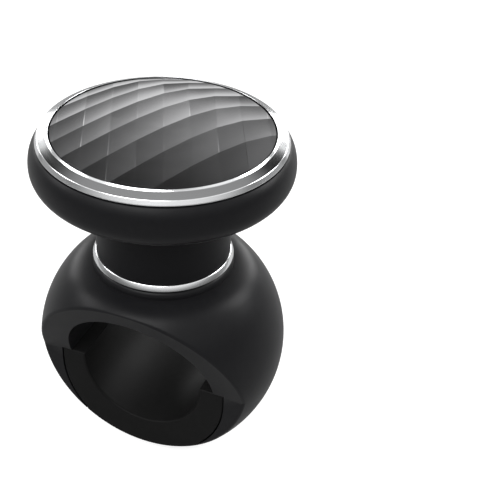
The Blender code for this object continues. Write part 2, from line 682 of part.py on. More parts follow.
def build_bearing(materials, root, knob, ball_axis):
    centre_z = (RACE_BOTTOM + RACE_TOP) / 2
    inner = race_profile(RACE_BORE, PITCH_RADIUS - RACE_LAND_STEP, centre_z)
    add_object("bearing_inner_race", revolve(inner, SMALL_SEGMENTS), materials["race"], root)
    outer = race_profile(BEARING_RADIUS, PITCH_RADIUS + RACE_LAND_STEP, centre_z)
    add_object("bearing_outer_race", revolve(outer, NECK_SEGMENTS), materials["race"], knob)
    pocket = BEARING_BALL_RADIUS + SEAT_GAP
    half_height = pocket + CAGE_RIM
    band = ring_profile(PITCH_RADIUS - CAGE_THICKNESS / 2, PITCH_RADIUS + CAGE_THICKNESS / 2,
                        centre_z - half_height, centre_z + half_height)
    cage = add_object("ball_cage", revolve(band, BEARING_BALL_COUNT * CAGE_STEPS_PER_BALL),
                      materials["brass"], ball_axis)
    holes = bmesh.new()
    lie = Matrix.Rotation(math.radians(90), 4, "Y")
    for index in range(BEARING_BALL_COUNT):
        angle = math.tau * index / BEARING_BALL_COUNT
        place = Matrix.Rotation(angle, 4, "Z") @ Matrix.Translation((PITCH_RADIUS, 0, centre_z))
        add_cylinder(holes, pocket, 4 * CAGE_THICKNESS, place @ lie)
        ball = bmesh.new()
        bmesh.ops.create_uvsphere(ball, u_segments=HOLE_SEGMENTS, v_segments=HOLE_SEGMENTS // 2,
                                  radius=BEARING_BALL_RADIUS)
        add_object(f"bearing_ball_{index + 1}", ball, materials["race"], ball_axis, place,
                   math.radians(60))
    combine(cage, as_helper(add_object("cage_pockets", holes, None, ball_axis)), "DIFFERENCE")


# Neck

def build_neck_sleeve(materials, knob):
    spigot = NECK_RADIUS - SPIGOT_STEP
    foot = RING_BOTTOM + NECK_FOOT_LIFT
    groove_low = RACE_BOTTOM - CIRCLIP_THICKNESS - 2 * SEAT_GAP
    groove = BEARING_POCKET + CIRCLIP_GROOVE_DEPTH
    shoulder_low = RACE_TOP + SEAT_GAP
    shoulder_high = shoulder_low + RACE_SHOULDER_THICKNESS
    profile = [
        (BEARING_POCKET + NECK_LEAD, foot), (spigot, foot), (spigot, RING_TOP),
        (NECK_RADIUS, RING_TOP), (NECK_RADIUS, FLANGE_BOTTOM),
        (FLANGE_RADIUS, FLANGE_BOTTOM), (FLANGE_RADIUS, FLANGE_TOP - NECK_LEAD),
        (FLANGE_RADIUS - NECK_LEAD, FLANGE_TOP), (BEARING_POCKET, FLANGE_TOP),
        (BEARING_POCKET, shoulder_high), (SHOULDER_BORE, shoulder_high),
        (SHOULDER_BORE, shoulder_low), (BEARING_POCKET, shoulder_low),
        (BEARING_POCKET, RACE_BOTTOM), (groove, RACE_BOTTOM), (groove, groove_low),
        (BEARING_POCKET, groove_low), (BEARING_POCKET, foot + NECK_LEAD),
    ]
    sleeve = add_object("neck_sleeve", revolve(profile, NECK_SEGMENTS), materials["neck"], knob)
    holes = screw_holes((FLANGE_BOTTOM + FLANGE_TOP) / 2, FLANGE_THICKNESS / 2 + TOOL_REACH)
    combine(sleeve, as_helper(add_object("flange_holes", holes, None, knob)), "DIFFERENCE")


def screw_place(index, z):
    angle = math.tau * (index + 0.5) / SLEEVE_SCREW_COUNT
    return Matrix.Rotation(angle, 4, "Z") @ Matrix.Translation((SCREW_CIRCLE, 0, z))


def screw_holes(z, reach):
    """Cylinders for the sleeve screws' holes, this far up and down from a height."""
    holes = bmesh.new()
    for index in range(SLEEVE_SCREW_COUNT):
        add_cylinder(holes, SLEEVE_SCREW_DIAMETER / 2 + SEAT_GAP, 2 * reach, screw_place(index, z))
    return holes


def build_sleeve_screws(materials, knob):
    shank = SLEEVE_SCREW_DIAMETER / 2
    head = SLEEVE_SCREW_HEAD_DIAMETER / 2
    seat = SEAT_GAP
    tip = -FLANGE_THICKNESS - SEAT_GAP - SLEEVE_SCREW_BITE
    point = shank / 3
    top = seat + SLEEVE_SCREW_HEAD_HEIGHT
    profile = [(0, tip), (shank - point, tip), (shank, tip + point), (shank, seat), (head, seat),
               (head, top - SLEEVE_SCREW_CROWN), (head - SLEEVE_SCREW_CROWN, top), (0, top)]
    for index in range(SLEEVE_SCREW_COUNT):
        place = screw_place(index, FLANGE_TOP)
        screw = add_object(f"sleeve_screw_{index + 1}", revolve(profile, SCREW_SEGMENTS),
                           materials["steel"], knob, place)
        cross = cross_prism(CROSS_REACH, CROSS_HALF_WIDTH, top - CROSS_DEPTH, top + TOOL_REACH)
        recess = add_object(f"cross_recess_{index + 1}", cross, None, knob, place)
        combine(screw, as_helper(recess), "DIFFERENCE")


def build_neck_ring(materials, knob):
    bore = NECK_RADIUS - SPIGOT_STEP + SEAT_GAP
    top = NECK_RADIUS + NECK_RING_PROUD
    foot = top + NECK_RING_FLARE
    soft = NECK_RING_SOFT
    low = RING_BOTTOM
    high = RING_TOP - NECK_RING_TOP_GAP
    profile = [(bore, low), (foot - soft, low), (foot, low + soft), (top, high - soft),
               (top - soft, high), (bore, high)]
    add_object("neck_trim_ring", revolve(profile, NECK_SEGMENTS), materials["trim"], knob)


def build_retaining_ring(materials, knob):
    """An internal circlip: an open spring ring with a wide eye at each end."""
    low = RACE_BOTTOM - SEAT_GAP - CIRCLIP_THICKNESS
    high = RACE_BOTTOM - SEAT_GAP
    outer = BEARING_POCKET + CIRCLIP_GROOVE_DEPTH - SEAT_GAP
    start = -math.pi / 2 + CIRCLIP_OPENING / 2
    bm = bmesh.new()
    rows = []
    for i in range(CIRCLIP_STEPS + 1):
        angle = start + (math.tau - CIRCLIP_OPENING) * i / CIRCLIP_STEPS
        at_eye = min(i, CIRCLIP_STEPS - i) <= CIRCLIP_EYE_STEPS
        inner = outer - (CIRCLIP_EYE_WIDTH if at_eye else CIRCLIP_WIDTH)
        rows.append([
            bm.verts.new((r * math.cos(angle), r * math.sin(angle), z))
            for r, z in ring_profile(inner, outer, low, high)
        ])
    for row, after in zip(rows, rows[1:]):
        for k in range(4):
            j = (k + 1) % 4
            bm.faces.new((row[k], row[j], after[j], after[k]))
    bm.faces.new(rows[0])
    bm.faces.new(list(reversed(rows[-1])))
    add_object("bearing_retaining_ring", bm, materials["black_steel"], knob)


# Knob head

def shell_outline():
    widest = SHELL_TOP - RIM_DROP
    upper = bezier((TRIM_RADIUS + RIM_STEP, SHELL_TOP),
                   (RIM_RADIUS - RIM_SHOULDER_IN, SHELL_TOP - RIM_SHOULDER_DOWN),
                   (RIM_RADIUS, widest + RIM_DROP * RIM_EASE), (RIM_RADIUS, widest),
                   RIM_UPPER_STEPS)
    lower = oval_arc(RIM_RADIUS - RIM_ROUND, widest, RIM_ROUND, widest - SHELL_BOTTOM, 0,
                     -math.pi / 2, RIM_LOWER_STEPS)
    hole = NECK_RADIUS + SEAT_GAP
    fillet = arc(SHELL_BORE - SHELL_FILLET, FLOOR_TOP + SHELL_FILLET, SHELL_FILLET, -math.pi / 2,
                 0, count=2)
    return [*upper, *lower[1:], (hole, SHELL_BOTTOM), (hole, FLOOR_TOP), *fillet,
            (SHELL_BORE, LEDGE_TOP), (SHELL_MOUTH, LEDGE_TOP), (SHELL_MOUTH, SHELL_TOP)]


def build_knob_shell(materials, knob):
    shell = add_object("knob_shell", revolve(shell_outline(), KNOB_SEGMENTS), materials["shell"],
                       knob)
    holes = screw_holes(FLOOR_TOP, SLEEVE_SCREW_BITE + SEAT_GAP)
    combine(shell, as_helper(add_object("floor_holes", holes, None, knob)), "DIFFERENCE")


def build_trim_ring(materials, knob):
    lip_top = DISC_FACE + TRIM_LIP_RISE
    lip = TRIM_BORE + TRIM_LIP_WIDTH
    soft = TRIM_SOFT
    band_end = lip + TRIM_BAND_WIDTH
    band_low = lip_top - TRIM_BAND_FALL
    skirt_low = CARRIER_TOP + SEAT_GAP
    profile = [
        (TRIM_BORE, skirt_low), (SKIRT_RADIUS, skirt_low), (SKIRT_RADIUS, TRIM_EDGE),
        (TRIM_RADIUS, TRIM_EDGE), (TRIM_RADIUS, TRIM_EDGE + soft),
        (band_end + soft, band_low - soft), (band_end, band_low),
        (lip + soft, lip_top - soft), (lip - soft, lip_top), (TRIM_BORE + 2 * soft, lip_top),
        (TRIM_BORE, lip_top - 2 * soft),
    ]
    add_object("knob_trim_ring", revolve(profile, KNOB_SEGMENTS), materials["trim"], knob,
               smooth=math.radians(50))


def facet_point(column, band):
    """Plan point where a column line crosses a band's far edge. Each edge runs straight across
    to its crest, then falls away to the left like a hyperbola's branch."""
    x = (column - FACET_COLUMN_COUNT / 2) * FACET_COLUMN
    crest_x = FACET_CREST_X + band * FACET_CREST_STEP
    crest_y = DISC_RADIUS - FACET_CREST_FALL * band**2
    spread = math.hypot(1, min(0, x - crest_x) / FACET_CURVE_WIDTH) - 1
    return x, crest_y - FACET_CURVE_DROP * spread


def build_faceted_disc(materials, knob):
    """A disc whose face rises in shallow curved bands, each broken into facets."""
    bm = bmesh.new()
    columns = range(FACET_COLUMN_COUNT + 1)
    surface = []
    for band in reversed(range(FACET_BAND_COUNT)):
        near, far = [], []
        for column in columns:
            x, y = facet_point(column, band)
            wave = math.sin(FACET_COLUMN_WAVE * column + FACET_BAND_WAVE * band)
            dip = FACET_TWIST * (1 + wave) / 2
            near.append(bm.verts.new((x, y, DISC_FACE - dip)))
            far.append(bm.verts.new((x, y + FACET_STEP, DISC_FACE - FACET_RELIEF - dip)))
        surface += [near, far]
    surface.append([
        bm.verts.new((v.co.x, DISC_RADIUS + FACET_COLUMN, DISC_FACE)) for v in surface[-1]])
    floor = [[bm.verts.new((v.co.x, v.co.y, DISC_BACK)) for v in edge]
             for edge in (surface[0], surface[-1])]
    rings = [floor[0], *surface, floor[1]]
    for row, after in zip(rings, rings[1:]):
        for i in range(FACET_COLUMN_COUNT):
            bm.faces.new((row[i], row[i + 1], after[i + 1], after[i]))
    for i in (0, FACET_COLUMN_COUNT):
        bm.faces.new([row[i] for row in rings])
    bm.faces.new([*floor[0], *reversed(floor[1])])
    turned(bm, Matrix.Rotation(FACET_TURN, 4, "Z"))
    disc = add_object("faceted_disc", bm, materials["disc"], knob, smooth=math.radians(2))
    # The blank's underside is the disc's own, above the faceted block's floor.
    blank = revolve([(0, DISC_BACK + TOOL_GAP), (DISC_RADIUS, DISC_BACK + TOOL_GAP),
                     (DISC_RADIUS, DISC_FACE + TOOL_REACH), (0, DISC_FACE + TOOL_REACH)],
                    KNOB_SEGMENTS)
    combine(disc, as_helper(add_object("disc_blank", blank, None, knob)), "INTERSECT")


def build_disc_seat(materials, knob):
    foam_radius = DISC_RADIUS - SEAT_GAP
    foam = [(0, FOAM_BOTTOM), (foam_radius, FOAM_BOTTOM), (foam_radius, FOAM_TOP), (0, FOAM_TOP)]
    add_object("disc_pad", revolve(foam, NECK_SEGMENTS), materials["foam"], knob)
    outer = SHELL_MOUTH - SEAT_GAP
    rib_low = CARRIER_BOTTOM - CARRIER_RIB_HEIGHT
    boss = CARRIER_BOSS_RADIUS
    ring_outer = BEARING_POCKET - SEAT_GAP
    ring_inner = ring_outer - CARRIER_RING_WALL
    plate = [(0, rib_low), (boss, rib_low), (boss, CARRIER_BOTTOM), (ring_inner, CARRIER_BOTTOM),
             (ring_inner, rib_low), (ring_outer, rib_low), (ring_outer, CARRIER_BOTTOM),
             (outer, CARRIER_BOTTOM), (outer, CARRIER_TOP), (0, CARRIER_TOP)]
    carrier = add_object("disc_carrier", revolve(plate, NECK_SEGMENTS), materials["carrier"], knob)
    start = boss / 2
    end = ring_outer - CARRIER_RING_WALL / 2
    low = rib_low + SEAT_GAP
    high = CARRIER_BOTTOM + CARRIER_THICKNESS / 2
    half = CARRIER_RIB_WIDTH / 2
    for index in range(CARRIER_RIB_COUNT):
        rib = upright_prism([(start, -half), (end, -half), (end, half), (start, half)], low, high)
        angle = math.tau * (index + 0.5) / CARRIER_RIB_COUNT
        helper = add_object(f"carrier_rib_{index + 1}", rib, None, knob,
                            Matrix.Rotation(angle, 4, "Z"))
        combine(carrier, as_helper(helper), "UNION")


def main():
    clear_scene()
    materials = make_materials()
    centre = (0, 0, REST_DEPTH)
    root = add_empty("base_centre", centre)
    knob = add_empty("knob_axis", centre)
    ball_axis = add_empty("ball_set_axis", centre)
    jaw_frame = add_empty("jaw_centre", centre)
    build_housing(materials, root)
    build_crown_pad(materials, root)
    build_spindle(materials, root)
    build_spindle_stack(materials, root)
    build_bearing(materials, root, knob, ball_axis)
    build_jaw(materials, jaw_frame)
    for side, word in ((-1, "left"), (1, "right")):
        build_set_screw(side, word, materials)
    build_neck_sleeve(materials, knob)
    build_sleeve_screws(materials, knob)
    build_neck_ring(materials, knob)
    build_retaining_ring(materials, knob)
    build_knob_shell(materials, knob)
    build_trim_ring(materials, knob)
    build_faceted_disc(materials, knob)
    build_disc_seat(materials, knob)


main()
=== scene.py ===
# %% [markdown]
# # A steering wheel spinner knob
#
# The knob is a mushroom head that spins on a ball bearing, above a round housing. A saddle cut in
# the housing and a jaw that slides into it make a bore, which clamps round a steering wheel's rim.
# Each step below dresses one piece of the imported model, or puts a finer piece in its place.

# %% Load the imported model
import json
from math import acos, asin, atan2, ceil, cos, hypot, pi, radians, sin, sqrt, tan, tau

import bmesh
import bpy
from mathutils import Matrix, Vector

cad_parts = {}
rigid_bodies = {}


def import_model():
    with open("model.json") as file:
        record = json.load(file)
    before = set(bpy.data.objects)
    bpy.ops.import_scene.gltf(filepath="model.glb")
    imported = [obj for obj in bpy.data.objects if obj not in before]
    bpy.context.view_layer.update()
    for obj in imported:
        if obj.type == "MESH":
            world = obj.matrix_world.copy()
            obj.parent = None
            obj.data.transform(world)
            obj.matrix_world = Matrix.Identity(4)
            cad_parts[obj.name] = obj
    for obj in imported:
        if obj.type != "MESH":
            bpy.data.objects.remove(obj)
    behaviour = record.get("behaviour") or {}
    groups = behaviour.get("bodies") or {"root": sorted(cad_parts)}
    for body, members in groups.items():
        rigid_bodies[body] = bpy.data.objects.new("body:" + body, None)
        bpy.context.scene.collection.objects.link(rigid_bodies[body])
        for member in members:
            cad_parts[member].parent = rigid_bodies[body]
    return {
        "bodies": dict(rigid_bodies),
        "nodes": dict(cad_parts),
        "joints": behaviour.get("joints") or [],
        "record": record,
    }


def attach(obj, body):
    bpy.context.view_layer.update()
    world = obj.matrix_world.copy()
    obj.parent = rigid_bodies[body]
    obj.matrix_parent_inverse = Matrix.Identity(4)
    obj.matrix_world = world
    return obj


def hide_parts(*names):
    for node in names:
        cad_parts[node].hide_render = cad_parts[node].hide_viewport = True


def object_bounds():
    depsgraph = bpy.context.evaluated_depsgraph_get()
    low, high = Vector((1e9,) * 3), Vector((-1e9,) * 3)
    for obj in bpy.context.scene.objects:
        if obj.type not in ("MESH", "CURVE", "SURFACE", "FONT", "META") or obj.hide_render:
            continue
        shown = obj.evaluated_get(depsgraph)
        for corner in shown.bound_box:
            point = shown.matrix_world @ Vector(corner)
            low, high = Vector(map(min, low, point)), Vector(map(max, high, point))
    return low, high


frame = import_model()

cad_low, cad_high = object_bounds()
nodes = frame["nodes"]
cad_size = [round(1000 * v, 1) for v in cad_high - cad_low]
print("model loaded:", len(nodes), "nodes,", cad_size, "mm")


def put(name, data):
    """A new object in the scene."""
    obj = bpy.data.objects.new(name, data)
    bpy.context.scene.collection.objects.link(obj)
    return obj


# %% [markdown]
# ## The camera
#
# The knob is seen from above, a little to the left of the front, from quite near: the disc shows
# as a wide ellipse and the clamp below it narrows. A long lens at this short distance gives that
# mild perspective. The knob stands left of the middle, so the camera is turned away to the right,
# and the lens isn't shifted, which keeps every other view centred.

# %% Camera
DISC_HEIGHT = 0.0724       # the disc's face above the resting flat
CAMERA_REACH = 0.1668      # level distance from the knob's axis
CAMERA_RISE = 0.0925       # above the disc's face
CAMERA_SIDE = radians(25.3)
CAMERA_PITCH = radians(35.7)
CAMERA_PAN = radians(4.79)
FOCAL_LENGTH = 74.1        # mm, on a sensor 36 mm wide

camera_data = bpy.data.cameras.new("camera")
camera = put("camera", camera_data)
bpy.context.scene.camera = camera
bpy.context.scene.view_settings.view_transform = "Standard"
camera_data.lens = FOCAL_LENGTH
camera_data.sensor_width = 36
camera_data.clip_start = 0.01
stand = Matrix.Rotation(CAMERA_SIDE, 4, "Z")
tilt = Matrix.Rotation(pi / 2 - CAMERA_PITCH, 4, "X")
pan = Matrix.Rotation(-CAMERA_PAN, 4, "Y")
camera.matrix_world = stand @ Matrix.Translation(
    (0, -CAMERA_REACH, DISC_HEIGHT + CAMERA_RISE)) @ tilt @ pan
print("camera at", [round(v, 3) for v in camera.matrix_world.translation])

# %% [markdown]
# ## Light and floor
#
# Black plastic has almost no colour of its own, so what shows its shape is the reflection of the
# lights. A soft panel on each side lights the ball's shoulders, two low ones behind edge the
# knob, and one above and in front makes its broad sheen. Behind the knob hangs a sweep with one
# bright band below a dark top: the disc mirrors that change, light at its back edge and dark at
# its front.

# %% Helpers for node trees
def new_node(tree, kind, **values):
    """A node with its settings and sockets set by name. i0, i1 and so on are sockets by number,
    and a value may be the socket that feeds this one."""
    node = tree.nodes.new(kind)
    for name, value in values.items():
        if hasattr(node, name):
            setattr(node, name, value)
            continue
        socket = node.inputs[int(name[1:])] if name[0] == "i" and name[1:].isdigit() else (
            node.inputs[name.replace("_", " ")])
        if isinstance(value, bpy.types.NodeSocket):
            tree.links.new(value, socket)
        else:
            socket.default_value = value
    return node


def feed(node, **sources):
    """Links each source to the node's socket of that name."""
    for name, source in sources.items():
        node.id_data.links.new(source, node.inputs[name.replace("_", " ")])


def calc(tree, operation, a, b=0.0, c=0.0):
    return new_node(tree, "ShaderNodeMath", operation=operation, i0=a, i1=b, i2=c).outputs[0]


def ramp(tree, factor, stops):
    """A colour ramp of (position, grey) stops."""
    node = tree.nodes.new("ShaderNodeValToRGB")
    tree.links.new(factor, node.inputs["Fac"])
    elements = node.color_ramp.elements
    elements[0].position, elements[-1].position = stops[0][0], stops[-1][0]
    for position, _ in stops[1:-1]:
        elements.new(position)
    for element, (_, grey) in zip(elements, stops):
        element.color = (grey, grey, grey, 1.0)
    return node.outputs["Color"]


def mix(tree, factor, a, b):
    return new_node(tree, "ShaderNodeMix", data_type="RGBA", i0=factor, i6=a, i7=b).outputs[2]


# %% Surroundings
# Sine of the elevation, and how bright the room and the sweep are there.
ROOM = ((0.0, 0.10), (0.25, 0.25), (0.45, 1.0), (0.80, 1.0), (0.93, 0.34), (1.0, 0.32))
SWEEP = ((0.0, 0.36), (0.30, 0.42), (0.415, 0.52), (0.450, 0.96), (0.464, 1.0), (0.480, 0.72),
         (0.492, 0.36), (0.506, 0.20), (0.525, 0.10), (0.545, 0.035), (0.58, 0.012),
         (0.66, 0.02), (0.78, 0.28), (1.0, 0.32))
SWEEP_MIDDLE = Vector((-sin(CAMERA_SIDE), cos(CAMERA_SIDE), 0))
SWEEP_START, SWEEP_FULL = -0.2, 0.4    # cosines of the angle from its middle

world = bpy.data.worlds.new("studio")
bpy.context.scene.world = world
world.use_nodes = True
sky = world.node_tree
sky.nodes.clear()
direction = new_node(sky, "ShaderNodeTexCoord").outputs["Generated"]
parts = new_node(sky, "ShaderNodeSeparateXYZ", i0=direction)
behind = new_node(sky, "ShaderNodeVectorMath", operation="DOT_PRODUCT", i0=direction,
                  i1=SWEEP_MIDDLE).outputs["Value"]
in_sweep = new_node(sky, "ShaderNodeMapRange", interpolation_type="SMOOTHSTEP", i0=behind,
                    i1=SWEEP_START, i2=SWEEP_FULL).outputs[0]
room = ramp(sky, parts.outputs["Z"], ROOM)
sweep = ramp(sky, parts.outputs["Z"], SWEEP)
mirrored = mix(sky, in_sweep, room, sweep)
path = new_node(sky, "ShaderNodeLightPath")
seen = calc(sky, "MAXIMUM", path.outputs["Is Camera Ray"], path.outputs["Is Transmission Ray"])
shown = mix(sky, seen, mirrored, (1, 1, 1, 1))
backdrop = new_node(sky, "ShaderNodeBackground", i0=shown, i1=1.0)
new_node(sky, "ShaderNodeOutputWorld", i0=backdrop.outputs[0])
print("surroundings: white to the camera, a sweep behind the knob")

# %% Soft panels
PANEL_REACH = 0.60
PANEL_AIM = Vector((0, 0, 0.04))
PANELS = {
    # name: (heading from where the camera looks, elevation, width, height, watts)
    "front_panel": (-150, 50, 0.46, 0.30, 1.8),
    "left_panel": (-82, 30, 0.22, 0.26, 0.8),
    "right_panel": (78, 30, 0.26, 0.30, 1.6),
    "back_left_panel": (-36, 14, 0.32, 0.22, 0.9),
    "back_right_panel": (36, 14, 0.34, 0.24, 1.3),
}

for name, (heading, elevation, width, tall, watts) in PANELS.items():
    lamp = bpy.data.lights.new(name, "AREA")
    lamp.shape = "RECTANGLE"
    lamp.size = width
    lamp.size_y = tall
    lamp.energy = watts
    panel = put(name, lamp)
    turned = stand @ Matrix.Rotation(-radians(heading), 4, "Z")
    place = turned @ Matrix.Rotation(radians(elevation), 4, "X") @ Vector((0, PANEL_REACH, 0))
    facing = (-place).to_track_quat("-Z", "Y")
    panel.matrix_world = (Matrix.Translation(place + PANEL_AIM)
                          @ facing.to_matrix().to_4x4())
    print(name, watts, "W")

# %% [markdown]
# The floor is plain and pale. A little of its own light, which only the camera sees, lifts it to
# the backdrop's white, so that nothing but the knob's soft shadow shows on it.

# %% Floor
FLOOR_HALF = 1.2
FLOOR_TONE = 0.40
FLOOR_LIFT = 0.80

floor_mesh = bpy.data.meshes.new("floor")
corners = [(x * FLOOR_HALF, y * FLOOR_HALF, 0) for x, y in ((-1, -1), (1, -1), (1, 1), (-1, 1))]
floor_mesh.from_pydata(corners, [], [(0, 1, 2, 3)])
floor = put("floor", floor_mesh)
floor_paint = bpy.data.materials.new("floor_paint")
floor_paint.use_nodes = True
tree = floor_paint.node_tree
paint = tree.nodes["Principled BSDF"]
paint.inputs["Base Color"].default_value = (FLOOR_TONE, FLOOR_TONE, FLOOR_TONE, 1)
paint.inputs["Roughness"].default_value = 0.8
paint.inputs["Specular IOR Level"].default_value = 0.2
paint.inputs["Emission Strength"].default_value = 1.0
camera_ray = new_node(tree, "ShaderNodeLightPath").outputs["Is Camera Ray"]
feed(paint, Emission_Color=calc(tree, "MULTIPLY", camera_ray, FLOOR_LIFT))
floor_mesh.materials.append(floor_paint)
print("floor", 2 * FLOOR_HALF, "m across")

# %% [markdown]
# ## Shader groups
#
# Three effects are shared. Moulded grain is the fine pebbled skin that a textured mould leaves on
# plastic. Turning lines are the rings that a lathe or a polishing wheel leaves round an axis.
# Handling is the faint, cloudy change in gloss of anything that has been touched.

# %% Helpers for groups
def new_group(name, inputs, outputs):
    """An empty shader group with named number sockets. Inputs come with their usual values."""
    group = bpy.data.node_groups.new(name, "ShaderNodeTree")
    for label, value in inputs.items():
        socket = group.interface.new_socket(label, in_out="INPUT", socket_type="NodeSocketFloat")
        socket.default_value = value
    for label in outputs:
        group.interface.new_socket(label, in_out="OUTPUT", socket_type="NodeSocketFloat")
    return group, group.nodes.new("NodeGroupInput"), group.nodes.new("NodeGroupOutput")


def place_of(tree):
    return new_node(tree, "ShaderNodeTexCoord").outputs["Object"]


# %% Moulded grain
grain_group, given, made = new_group(
    "moulded_grain", {"Cells per metre": 5200.0, "Coarse per metre": 700.0}, ["Height", "Patches"])
where = place_of(grain_group)
cells = new_node(grain_group, "ShaderNodeTexVoronoi", feature="SMOOTH_F1", Vector=where,
                 Scale=given.outputs["Cells per metre"], Smoothness=0.6)
waves = new_node(grain_group, "ShaderNodeTexNoise", Vector=where,
                 Scale=given.outputs["Coarse per metre"], Detail=4.0)
height = calc(grain_group, "MULTIPLY_ADD", cells.outputs["Distance"], 0.75,
              calc(grain_group, "MULTIPLY", waves.outputs[0], 0.5))
feed(made, Height=height, Patches=waves.outputs[0])
print("group", grain_group.name)

# %% Turning lines
turning_group, given, made = new_group(
    "turning_lines", {"Lines per metre": 9000.0, "Break-up": 14.0}, ["Height", "Streaks"])
where = new_node(turning_group, "ShaderNodeSeparateXYZ", i0=place_of(turning_group))
radius = calc(turning_group, "SQRT", calc(
    turning_group, "ADD", calc(turning_group, "POWER", where.outputs["X"], 2.0),
    calc(turning_group, "POWER", where.outputs["Y"], 2.0)))
angle = calc(turning_group, "ARCTAN2", where.outputs["Y"], where.outputs["X"])
swept = new_node(
    turning_group, "ShaderNodeCombineXYZ",
    i0=calc(turning_group, "MULTIPLY", radius, given.outputs["Lines per metre"]),
    i1=calc(turning_group, "MULTIPLY", where.outputs["Z"], given.outputs["Lines per metre"]),
    i2=calc(turning_group, "MULTIPLY", angle, given.outputs["Break-up"])).outputs[0]
lines = new_node(turning_group, "ShaderNodeTexNoise", Vector=swept, Scale=0.35, Detail=5.0)
streaks = new_node(turning_group, "ShaderNodeTexNoise", Vector=swept, Scale=0.06, Detail=2.0)
feed(made, Height=lines.outputs[0], Streaks=streaks.outputs[0])
print("group", turning_group.name)

# %% Handling
handling_group, given, made = new_group("handling", {"Clouds per metre": 60.0}, ["Marks"])
clouds = new_node(handling_group, "ShaderNodeTexNoise", Vector=place_of(handling_group),
                  Scale=given.outputs["Clouds per metre"], Detail=6.0, Roughness=0.6)
feed(made, Marks=clouds.outputs[0])
print("group", handling_group.name)

# %% [markdown]
# ## Materials
#
# Every finish starts from a Principled shader, whose fixed numbers are set on its own sockets.
# Only what changes over the surface is fed by nodes: a little colour, the roughness and a bump.

# %% Finish helpers
def finish(name, metallic=0.0, specular=0.5):
    """A new material, with its tree and shader."""
    material = bpy.data.materials.new(name)
    material.use_nodes = True
    shader = material.node_tree.nodes["Principled BSDF"]
    shader.inputs["Metallic"].default_value = metallic
    shader.inputs["Specular IOR Level"].default_value = specular
    return material, material.node_tree, shader


def use_group(tree, group, **values):
    node = tree.nodes.new("ShaderNodeGroup")
    node.node_tree = group
    for name, value in values.items():
        node.inputs[name.replace("_", " ")].default_value = value
    return node.outputs


def between(tree, factor, low, high):
    """A number that runs from low to high as a noise factor goes through its middle range."""
    return new_node(tree, "ShaderNodeMapRange", i0=factor, i1=0.3, i2=0.7, i3=low,
                    i4=high).outputs[0]


def paint_with(tree, shader, tone, wear, height, dark, light, gloss, matt, depth):
    """Feeds a shader: its colour from one factor, its roughness from another, and a bump."""
    bump = new_node(tree, "ShaderNodeBump", Height=height)
    bump.inputs["Distance"].default_value = depth
    feed(shader, Base_Color=mix(tree, tone, (*dark, 1), (*light, 1)),
         Roughness=between(tree, wear, gloss, matt), Normal=bump.outputs["Normal"])


# %% Black plastic
def black_plastic(name, dark, light, gloss, matt, cells, depth, specular=0.14):
    """Moulded black plastic: its gloss wanders a little and its skin is finely pebbled."""
    material, tree, shader = finish(name, specular=specular)
    grain = use_group(tree, grain_group, Cells_per_metre=cells)
    touch = use_group(tree, handling_group)
    paint_with(tree, shader, grain["Patches"], touch["Marks"], grain["Height"],
               dark, light, gloss, matt, depth)
    return material


housing_plastic = black_plastic("satin_black_housing", (0.008, 0.008, 0.009),
                                (0.011, 0.011, 0.012), 0.32, 0.40, 5200, 0.000003)
shell_plastic = black_plastic("satin_black_shell", (0.007, 0.007, 0.008), (0.010, 0.010, 0.011),
                              0.34, 0.42, 5200, 0.000003)
neck_plastic = black_plastic("neck_black", (0.004, 0.004, 0.005), (0.006, 0.006, 0.007),
                             0.40, 0.48, 5200, 0.000003)
jaw_plastic = black_plastic("jaw_black", (0.005, 0.005, 0.005), (0.008, 0.008, 0.008),
                            0.46, 0.56, 4200, 0.000005, specular=0.10)
carrier_plastic = black_plastic("carrier_plastic", (0.020, 0.020, 0.020), (0.035, 0.035, 0.035),
                                0.50, 0.60, 3000, 0.000008)
rubber = black_plastic("grip_rubber", (0.010, 0.010, 0.010), (0.018, 0.018, 0.018),
                       0.75, 0.90, 2200, 0.00002)
foam = black_plastic("foam_tape", (0.030, 0.030, 0.030), (0.050, 0.050, 0.050),
                     0.85, 0.95, 1500, 0.00006)
print("black plastics and rubbers made")


# %% Metals
def turned_metal(name, dark, light, gloss, matt, lines, depth):
    """Metal with the fine rings of turning or polishing round the knob's axis."""
    material, tree, shader = finish(name, metallic=1.0)
    turning = use_group(tree, turning_group, Lines_per_metre=lines)
    paint_with(tree, shader, turning["Streaks"], turning["Streaks"], turning["Height"],
               dark, light, gloss, matt, depth)
    return material


bright_trim = turned_metal("bright_trim", (0.80, 0.81, 0.82), (0.90, 0.91, 0.92), 0.10, 0.18,
                           9000, 0.0000010)
plated_steel = turned_metal("plated_steel", (0.46, 0.46, 0.47), (0.60, 0.60, 0.61), 0.26, 0.40,
                            7000, 0.000004)
bearing_steel = turned_metal("bearing_steel", (0.56, 0.56, 0.58), (0.66, 0.66, 0.68), 0.10, 0.20,
                             12000, 0.000001)
black_steel = turned_metal("blackened_steel", (0.030, 0.030, 0.034), (0.055, 0.055, 0.060), 0.34,
                           0.48, 6000, 0.000005)
insert_brass = turned_metal("insert_brass", (0.50, 0.36, 0.14), (0.64, 0.48, 0.22), 0.26, 0.40,
                            7000, 0.000004)
smoked_disc = turned_metal("smoked_disc", (0.64, 0.64, 0.65), (0.70, 0.70, 0.71), 0.06, 0.08,
                           3000, 0.0000002)
print("metals made")

# %% [markdown]
# ## Mesh helpers
#
# Nearly every piece is turned or cut from a flat outline. An outline is a closed list of points,
# its corners can be softened before it is used, and heights are measured from the middle of the
# ball, as they were on the drawing. One helper turns an outline round the upright axis, another
# draws it out along the bore, and a third carves one solid with another.

# %% Outlines
BALL_CENTRE = 0.0244       # height of the ball's middle above the resting flat
AROUND = 192               # faces round a large turned piece
SMALL_AROUND = 48          # and round a screw or a small hole


